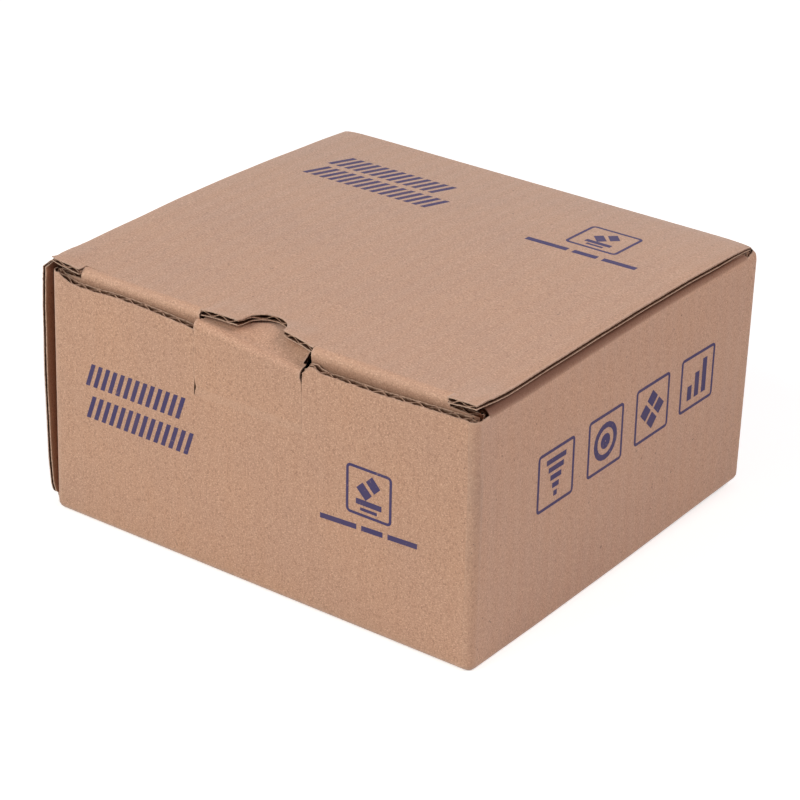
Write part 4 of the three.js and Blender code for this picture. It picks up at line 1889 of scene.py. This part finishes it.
@dataclass
class DustFlap:
    """A dust flap under the lid, with its fold."""

    side: Side
    fold_front: float
    fold_rear: float = 68.0
    front: float = -62.0
    rear: float = 62.0
    reach: float = 48.7
    root: float = 3.4
    tail: float = 32.0
    tail_cut: float = 43.0
    nose: float = 3.0
    nose_cut: float = 5.0
    wall_ends: Pair = (-67.4, 67.9)
    fold_reach: float = 6.0
    spring_reach: float = 20.0
    # Painted shade on the right shoulder under the lid's edge: a dark step at the wall's top and a
    # darkening that grows above it
    shade_dark: float = 0.45
    shade_dark_rise: Pair = (-0.3, 1.0)
    shaded: float = 0.4
    shaded_rise: Pair = (0.0, 2.2)
    spring: Profile = Profile(((-20.0, 0.0), (18.0, 0.6), (41.0, 0.9), (64.0, 0.7)))

    @property
    def face(self) -> float:
        """The outer face of the wall that carries the flap."""
        return RIGHT if self.side is Side.RIGHT else LEFT

    @property
    def name(self) -> str:
        """The side's name."""
        return self.side.name.lower()

    def top(self, along: Array) -> Array:
        """Gives the height of the flap's upper face at the fold, where it springs up.

        Args:
            along: Places along the edge or fold, in mm.

        Returns:
            The heights, in mm.
        """
        if self.side is Side.LEFT:
            return np.full(len(along), DUST_TOP)
        return self.spring(along) + DUST_TOP

    def wall_top(self, along: Array) -> Array:
        """Gives the height of the right wall under the fold, held at the fold's two ends."""
        return Sleeve.right_top(np.clip(along, *self.wall_ends))

    def radius(self, along: Array) -> Array:
        """Gives the fold's radius, which is larger where the front of the shoulder sags.

        Args:
            along: Places along the edge or fold, in mm.

        Returns:
            The radii, in mm.
        """
        if self.side is Side.LEFT:
            return np.full(len(along), FOLD_RADIUS)
        return self.top(along) - self.wall_top(along)

    def painted_shade(self, places: Array) -> Array:
        """Says how much painted shade the shoulder takes in the lid's shadow, growing darker up
        towards the lid's edge.

        Args:
            places: Places in mm.

        Returns:
            The shares of the dark colour.
        """
        rise = places[:, 2] - self.wall_top(places[:, 1])
        shade_dark = self.shade_dark * ramp(rise, *self.shade_dark_rise)
        return shade_dark + self.shaded * ramp(rise, *self.shaded_rise)

    def folded(self, along: Array, run: Array, depth: Array) -> Array:
        """Places points of the fold, whose run is a share of the arc from 0 to 1.

        Args:
            along: Places along the edge or fold, in mm.
            run: Share of the arc.
            depth: Depth in from the outer face, in mm.

        Returns:
            Places in mm.
        """
        radius, sign, reach = self.radius(along), self.side.value, self.radius(along) - depth
        angle = run * QUARTER
        x = self.face - sign * radius + sign * reach * np.sin(angle)
        z = self.top(along) - radius + reach * np.cos(angle)
        return warp(np.stack((x, along, z), axis=1))

    def lining(self, along: Array, run: Array, depth: Array) -> Array:
        """Places points of the inner paper, straight across the inside of the fold.

        Args:
            along: Places along the edge or fold, in mm.
            run: Share of the strip.
            depth: Depth in from the outer face, in mm.

        Returns:
            Places in mm.
        """
        radius, sign = self.radius(along), self.side.value
        inner = np.maximum(radius - BOARD, 0.05)
        lift = (BOARD - depth) / math.sqrt(2)
        x = self.face - sign * radius + sign * (inner * run + lift)
        z = self.top(along) - radius + inner * (1 - run) + lift
        return warp(np.stack((x, along, z), axis=1))

    def lie(self, along: Array, run: Array, depth: Array) -> Array:
        """Places points of the flap, whose run starts at the fold.

        Args:
            along: Places along the edge or fold, in mm.
            run: Distance from the fold, in mm.
            depth: Depth in from the outer face, in mm.

        Returns:
            Places in mm.
        """
        near = fade(run, self.fold_reach)
        shift = self.radius(along) * near + FOLD_RADIUS * (1 - near)
        x = self.face - self.side.value * (shift + run)
        spring = (self.top(along) - DUST_TOP) * fade(run, self.spring_reach)
        return warp(np.stack((x, along, DUST_TOP + spring - depth), axis=1))

    def free_edge(self, along: Array) -> Array:
        """Gives the flap's free edge, tapered to the rear and a little to the front.

        Args:
            along: Places along the edge or fold, in mm.

        Returns:
            The run from the fold to the edge, in mm.
        """
        tail = np.clip((along - (self.rear - self.tail)) / self.tail, 0.0, 1.0)
        nose = np.clip((self.front + self.nose - along) / self.nose, 0.0, 1.0)
        return self.reach - self.tail_cut * tail - self.nose_cut * nose**2

    def patches(self) -> list[Patch]:
        """Gives the flap's patches: its root along the fold, and what reaches under the lid.

        Returns:
            The patches.
        """
        root, edge = self.root, self.free_edge
        made = [
            Patch(max(self.front, self.fold_front), self.rear, 0.0, root, Raw.NONE, step=2.0),
            Patch(self.rear, self.fold_rear, 0.0, root, Raw.HIGH, step=2.0),
        ]
        if self.fold_front < self.front:
            return made + [
                Patch(self.fold_front, self.front, 0.0, root, Raw.HIGH, step=2.0),
                Patch(self.front, self.rear, root, edge, Raw.HIGH | ENDS),
            ]
        ear = Raw.LOW | Raw.HIGH | Raw.START
        return made + [
            Patch(self.front, self.fold_front, root, edge, ear),
            Patch(self.fold_front, self.rear, root, edge, Raw.HIGH | Raw.END),
        ]

    def build(self, dress: Dress) -> None:
        """Builds the fold's papers and the flap.

        Args:
            dress: The board's finishes.
        """
        body = f"{self.name}_dust_flap"
        for layer in Layer:
            inner = layer is Layer.INNER
            place = self.lining if inner else self.folded
            step = 1 / (INNER_STEPS if inner else FOLD_STEPS)
            piece = Sheet(
                f"dust_fold_{self.name}_{layer.value}",
                place,
                [Patch(self.fold_front, self.fold_rear, 0.0, 1.0, ENDS, step)],
                pale=0.1,
                layers=(layer,),
                seed=15.0,
                # painted shade under the lid's edge, on the right fold only
                painted_shade=self.painted_shade if self.side is Side.RIGHT else None,
            ).build(dress)
            depth = np.full(2, BOARD if inner else 0.0)
            ends = gather(place(np.zeros(2), np.array((0.0, 1.0)), depth))
            node = f"crease_dust_{self.name}"
            settle_bend(piece, (body, "sleeve"), node, Vector(ends[0]), Vector(ends[1]))
        Sheet(
            f"dust_board_{self.name}",
            self.lie,
            self.patches(),
            cuts=(self.front, self.rear, self.fold_front, self.rear - self.tail),
            seed=16.0,
        ).lay(dress, body, f"dust_flap_{self.name}")


@dataclass
class Bottom:
    """The fixed bottom: four folds, the flaps that interlock, and the glue of the lap."""

    front_half: float = 76.9
    rear_ends: Pair = (-79.6, 77.5)
    right_ends: Pair = (-71.1, 71.7)
    left_ends: Pair = (-70.2, 71.1)
    fold_step: float = 0.35

    @staticmethod
    def flap(name: str, dress: Dress) -> None:
        """Builds one flap from its solid, out of true with the walls.

        Args:
            name: The wall that carries it.
            dress: The board's finishes.
        """
        node = f"bottom_flap_{name}"
        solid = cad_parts[node]
        turned = solid.matrix_world
        places = np.array([tuple(turned @ vertex.co) for vertex in solid.data.vertices]) / MM
        places[:, 0] -= SHIFT_X
        faces = [tuple(face.vertices) for face in solid.data.polygons]
        piece = make_object(f"bottom_board_{name}", warp(places), faces, [dress.inside])
        settle(piece, "sleeve", KRAFT_BOARD, node)

    def build(self, dress: Dress) -> None:
        """Builds the folds and the flaps, and gives the glue its finish.

        Args:
            dress: The board's finishes.
        """
        edge = FOLD_RADIUS
        for name, middle, axis, outward, sweep, ends in (
            ("front", FRONT + edge, Axis.X, math.pi, QUARTER, (-self.front_half, self.front_half)),
            ("rear", REAR - edge, Axis.X, 0.0, -QUARTER, self.rear_ends),
            ("right", RIGHT - edge, Axis.Y, 0.0, -QUARTER, self.right_ends),
            ("left", LEFT + edge, Axis.Y, math.pi, QUARTER, self.left_ends),
        ):
            turn = Turn((middle, edge), edge, outward, sweep)
            Sheet(
                f"bottom_fold_{name}",
                laid(turn, axis),
                [Patch(*ends, 0.0, turn.length, Raw.NONE, self.fold_step)],
                pale=PALE_CREASE,
                shape=warp,
                seed=17.0,
            ).lay(dress, "sleeve", f"crease_bottom_{name}", KRAFT_CREASE)
            self.flap(name, dress)
        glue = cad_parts["lap_glue"]
        glue.data.materials.clear()
        glue.data.materials.append(dress.glue)


@dataclass
class Marks:
    """Plain printed bands and framed shapes in dark blue ink, with no words or signs."""

    name: str
    place: Place
    body: str
    shape: Callable[[Array], Array]
    ink_depth: float = 0.035
    ink_height: float = 0.02
    slant: float = 0.35
    stroke_share: float = 0.27
    stroke_step: float = 3.0
    finest: float = 2.0
    corner_cells: int = 5
    dash_shares: tuple[Pair, ...] = ((0.0, 0.38), (0.43, 0.22), (0.70, 0.30))
    ribbons: list[tuple[Ribbon, bool]] = field(default_factory=list)

    def stroke(self, start: Pair, end: Pair, wide: Pair) -> None:
        """Adds a bar between two points.

        Args:
            start: Middle of one end.
            end: Middle of the other end.
            wide: Offset from the middle to one long side.
        """
        cells = max(1, math.ceil(math.dist(start, end) / self.stroke_step))
        made: Ribbon = []
        for step in range(cells + 1):
            share = step / cells
            x = start[0] + (end[0] - start[0]) * share
            y = start[1] + (end[1] - start[1]) * share
            made.append(((x - wide[0], y - wide[1]), (x + wide[0], y + wide[1])))
        self.ribbons.append((made, False))

    def band(self, corner: Pair, length: float, height: float, pitch: float) -> None:
        """Adds a band of slanted strokes.

        Args:
            corner: Its lower left corner.
            length: How long it is.
            height: How high it is.
            pitch: From one stroke to the next.
        """
        lean, half = height * self.slant, pitch * self.stroke_share
        for step in range(int((length - lean) / pitch) + 1):
            x = corner[0] + step * pitch + half
            self.stroke((x, corner[1]), (x + lean, corner[1] + height), (half, 0.0))

    def dashes(self, corner: Pair, length: float, height: float, rise: float) -> None:
        """Adds a row of three dashes that may climb a little.

        Args:
            corner: Where the row starts.
            length: How long it is.
            height: How high a dash is.
            rise: How far the row climbs.
        """
        for start, size in self.dash_shares:
            ends = [
                (corner[0] + length * share, corner[1] + rise * share)
                for share in (start, start + size)
            ]
            self.stroke(*ends, (0.0, height / 2))

    def ring(self, middle: Pair, size: Pair, corner: float, line: float) -> None:
        """Adds a rounded frame.

        Args:
            middle: Its middle.
            size: Its outer width and height.
            corner: Its outer corner radius.
            line: Its line's width.
        """
        made: Ribbon = []
        half = (size[0] / 2 - corner, size[1] / 2 - corner)
        for number, (sx, sy) in enumerate(((1, 1), (-1, 1), (-1, -1), (1, -1))):
            cx, cy = middle[0] + sx * half[0], middle[1] + sy * half[1]
            for step in range(self.corner_cells + 1):
                angle = QUARTER * (number + step / self.corner_cells)
                across, up = math.cos(angle), math.sin(angle)
                inner, outer = [
                    (cx + reach * across, cy + reach * up) for reach in (corner - line, corner)
                ]
                made.append((inner, outer))
        self.ribbons.append((made, True))

    def finer(self, ribbon: Ribbon, closed: bool) -> Ribbon:
        """Splits a ribbon's long steps, so that it follows a wall that isn't quite flat.

        Args:
            ribbon: The ribbon's pairs of points.
            closed: Whether it runs back to its start.

        Returns:
            The ribbon with short steps.
        """
        line = np.array(ribbon + ribbon[:1] if closed else ribbon)
        made = []
        for here, there in zip(line[:-1], line[1:]):
            length = float(np.linalg.norm(there - here, axis=1).max())
            cells = max(1, math.ceil(length / self.finest))
            made += [here + (there - here) * (step / cells) for step in range(cells)]
        if not closed:
            made.append(line[-1])
        return [(tuple(left), tuple(right)) for left, right in made]

    def build(self, dress: Dress) -> None:
        """Builds all marks of one face as one piece and settles it.

        Args:
            dress: The board's finishes.
        """
        verts: list[Triple] = []
        faces: list[tuple[int, ...]] = []
        for plain, closed in self.ribbons:
            ribbon = self.finer(plain, closed)
            base, count = len(verts), len(ribbon)
            for left, right in ribbon:
                for depth in (-self.ink_depth, self.ink_height):
                    verts += [(*left, depth), (*right, depth)]
            for step in range(count if closed else count - 1):
                a, b = base + 4 * step, base + 4 * ((step + 1) % count)
                faces += [
                    (a, a + 1, b + 1, b), (a + 2, b + 2, b + 3, a + 3),
                    (a, b, b + 2, a + 2), (a + 1, a + 3, b + 3, b + 1),
                ]
            if not closed:
                last = base + 4 * (count - 1)
                faces += [(base, base + 2, base + 3, base + 1),
                          (last, last + 1, last + 3, last + 2)]
        places = self.shape(self.place(*np.array(verts).T))
        settle(make_object(self.name, places, faces, [dress.ink]), self.body, KRAFT_BOARD)


def print_marks(dress: Dress) -> None:
    """Prints the marks on the front wall, the right wall and the lid.

    Args:
        dress: The board's finishes.
    """
    front = Marks("front_marks", flat(Axis.X, FRONT, 1.0), "sleeve", warp)
    front.band((-66.1, 47.5), length=39.0, height=7.7, pitch=3.0)
    front.band((-66.1, 36.5), length=44.3, height=7.8, pitch=3.0)
    front.ring((42.8, 46.0), (16.4, 15.9), corner=1.6, line=0.9)
    framed_diamond(front, (42.8, 46.0))
    front.dashes((25.2, 33.5), length=35.0, height=1.7, rise=1.5)
    front.build(dress)
    right = Marks("right_marks", flat(Axis.Y, RIGHT, -1.0), "sleeve", warp)
    for figure, middle in zip(Figure, ((-34.4, 48.2), (-8.4, 48.8), (17.2, 49.3), (42.4, 49.9))):
        right.ring(middle, (18.8, 18.9), corner=1.5, line=1.0)
        framed_figure(right, middle, figure)
    right.build(dress)
    lid = Marks("lid_marks", flat(Axis.X, TOP, -1.0, Axis.Y), "lid", Lid.crown)
    lid.band((-63.5, 41.2), length=47.0, height=9.4, pitch=3.4)
    lid.band((-64.5, 29.2), length=52.5, height=9.4, pitch=3.4)
    lid.ring((43.7, 43.2), (18.8, 17.0), corner=1.7, line=1.0)
    framed_diamond(lid, (43.7, 43.2))
    lid.dashes((24.2, 29.2), length=39.5, height=2.2, rise=0.8)
    lid.build(dress)


def framed_diamond(marks: Marks, middle: Pair) -> None:
    """Adds a diamond over two bars.

    Args:
        marks: The face's marks.
        middle: The figure's middle.
    """
    x, y = middle
    for (ax, ay), (bx, by), wide in DIAMOND_STROKES:
        marks.stroke((x + ax, y + ay), (x + bx, y + by), wide)


def framed_figure(marks: Marks, middle: Pair, figure: Figure) -> None:
    """Adds one of four plain figures.

    Args:
        marks: The face's marks.
        middle: The figure's middle.
        figure: Which figure.
    """
    x, y = middle
    if figure is Figure.STEPS:
        for step, half in enumerate(STEP_HALVES):
            height = y + STEP_TOP - STEP_PITCH * step
            marks.stroke((x - half, height), (x + half, height), (0.0, STEP_THICK))
    elif figure is Figure.TARGET:
        for size, corner, line in TARGET_RINGS:
            marks.ring(middle, size, corner, line)
    elif figure is Figure.LOZENGES:
        half = LOZENGE_HALF
        for dx, dy in LOZENGES:
            head, foot = (x + dx - half, y + dy + half), (x + dx + half, y + dy - half)
            marks.stroke(head, foot, (half, half))
    else:
        for dx, tall in BARS:
            foot = y + BAR_FOOT
            marks.stroke((x + dx, foot), (x + dx, foot + tall), (BAR_HALF, 0.0))


@dataclass(frozen=True)
class Lamp:
    """A square soft lamp that shines on the carton."""

    name: str
    place: Triple
    size: float
    watts: float
    tint: Triple
    aim: Triple = (0.0, 0.0, 0.04)

    def hang(self) -> None:
        """Hangs the lamp."""
        data = bpy.data.lights.new(self.name, "AREA")
        data.shape = "SQUARE"
        data.size = self.size
        data.energy = self.watts
        data.color = self.tint
        made = bpy.data.objects.new(self.name, data)
        made.location = self.place
        made.rotation_mode = "QUATERNION"
        made.rotation_quaternion = (Vector(self.aim) - Vector(self.place)).to_track_quat("-Z", "Y")
        bpy.context.scene.collection.objects.link(made)


@dataclass
class Studio:
    """The floor, the lamps, the white surroundings and the camera."""

    camera_mm: Triple = (461.424, -624.899, 416.639)
    azimuth: float = math.radians(36.41)
    elevation: float = math.radians(26.249)
    roll: float = math.radians(1.152)
    lens: float = 123.846
    sensor: float = 36.0
    clip: Pair = (0.01, 50.0)
    floor_half: float = 5.0
    floor_tone: float = 0.82
    floor_glow: float = 0.55
    world_light: float = 0.15
    lamps: tuple[Lamp, ...] = (
        Lamp("lamp_front", (-0.6, -1.2, 0.85), size=0.9, watts=16.9, tint=(1.0, 0.975, 0.91)),
        Lamp("lamp_top", (-0.1, -0.1, 1.5), size=1.1, watts=1.4, tint=(0.85, 1.0, 1.35)),
        Lamp("lamp_right", (1.0, 0.1, 1.1), size=0.5, watts=10.7, tint=(1.0, 0.89, 0.85)),
    )

    def floor(self) -> None:
        """Lays a wide white floor that keeps the carton's soft shadow."""
        half, tone = self.floor_half, self.floor_tone
        mesh = bpy.data.meshes.new("studio_floor")
        corners = [(-half, -half, 0.0), (half, -half, 0.0), (half, half, 0.0), (-half, half, 0.0)]
        mesh.from_pydata(corners, [], [(0, 1, 2, 3)])
        made, tree = new_material("studio paper")
        paper = add_node(tree, "ShaderNodeBsdfDiffuse", {"Color": (tone, tone, tone, 1.0)})
        seen = add_node(tree, "ShaderNodeLightPath").outputs["Is Camera Ray"]
        strength = add_node(
            tree, "ShaderNodeMath", {"operation": "MULTIPLY", 1: self.floor_glow}, {0: seen}
        )
        glow = add_node(
            tree,
            "ShaderNodeEmission",
            {"Color": (1.0, 1.0, 1.0, 1.0)},
            {"Strength": strength.outputs[0]},
        )
        both = add_node(tree, "ShaderNodeAddShader", {}, {0: paper.outputs[0], 1: glow.outputs[0]})
        add_node(tree, "ShaderNodeOutputMaterial", {}, {"Surface": both.outputs[0]})
        mesh.materials.append(made)
        piece = bpy.data.objects.new("studio_floor", mesh)
        bpy.context.scene.collection.objects.link(piece)

    def world(self) -> None:
        """Surrounds the scene with an even light, white to the camera."""
        made = bpy.data.worlds.new("studio")
        bpy.context.scene.world = made
        made.use_nodes = True
        tree = made.node_tree
        tree.nodes.clear()
        rays = add_node(tree, "ShaderNodeLightPath")
        first = add_node(
            tree, "ShaderNodeMath", {"operation": "MAXIMUM"},
            {0: rays.outputs["Is Camera Ray"], 1: rays.outputs["Is Glossy Ray"]},
        )
        seen = add_node(
            tree, "ShaderNodeMath", {"operation": "MAXIMUM"},
            {0: first.outputs[0], 1: rays.outputs["Is Transmission Ray"]},
        )
        soft = add_node(
            tree,
            "ShaderNodeBackground",
            {"Color": (0.96, 0.98, 1.0, 1.0), "Strength": self.world_light},
        )
        white = add_node(
            tree, "ShaderNodeBackground", {"Color": (1.0, 1.0, 1.0, 1.0), "Strength": 1.0}
        )
        both = add_node(
            tree, "ShaderNodeMixShader", {},
            {0: seen.outputs[0], 1: soft.outputs[0], 2: white.outputs[0]},
        )
        add_node(tree, "ShaderNodeOutputWorld", {}, {"Surface": both.outputs[0]})

    def camera(self) -> None:
        """Sets the camera where the photograph was taken from."""
        data = bpy.data.cameras.new("camera")
        data.sensor_width = self.sensor
        data.lens = self.lens
        data.clip_start, data.clip_end = self.clip
        made = bpy.data.objects.new("camera", data)
        a, e = self.azimuth, self.elevation
        back = Vector((math.sin(a) * math.cos(e), -math.cos(a) * math.cos(e), math.sin(e)))
        level = Vector((math.cos(a), math.sin(a), 0.0))
        upright = back.cross(level)
        right = level * math.cos(self.roll) + upright * math.sin(self.roll)
        up = upright * math.cos(self.roll) - level * math.sin(self.roll)
        turn = Matrix((right, up, back)).transposed()
        made.matrix_world = Matrix.Translation(Vector(self.camera_mm) * MM) @ turn.to_4x4()
        bpy.context.scene.collection.objects.link(made)
        bpy.context.scene.camera = made

    def build(self) -> None:
        """Sets up the studio."""
        self.camera()
        self.floor()
        self.world()
        for lamp in self.lamps:
            lamp.hang()
        bpy.context.scene.view_settings.view_transform = "Standard"


def main() -> None:
    """Builds the carton and its studio."""
    logging.basicConfig(level=logging.INFO, format="%(name)s: %(message)s")
    dress = Dress()
    Studio().build()
    Sleeve().build(dress)
    Lid().build(dress)
    LockTongue().build(dress)
    DustFlap(Side.RIGHT, fold_front=-67.49).build(dress)
    DustFlap(Side.LEFT, fold_front=-49.9).build(dress)
    Bottom().build(dress)
    print_marks(dress)


if __name__ == "__main__":
    main()
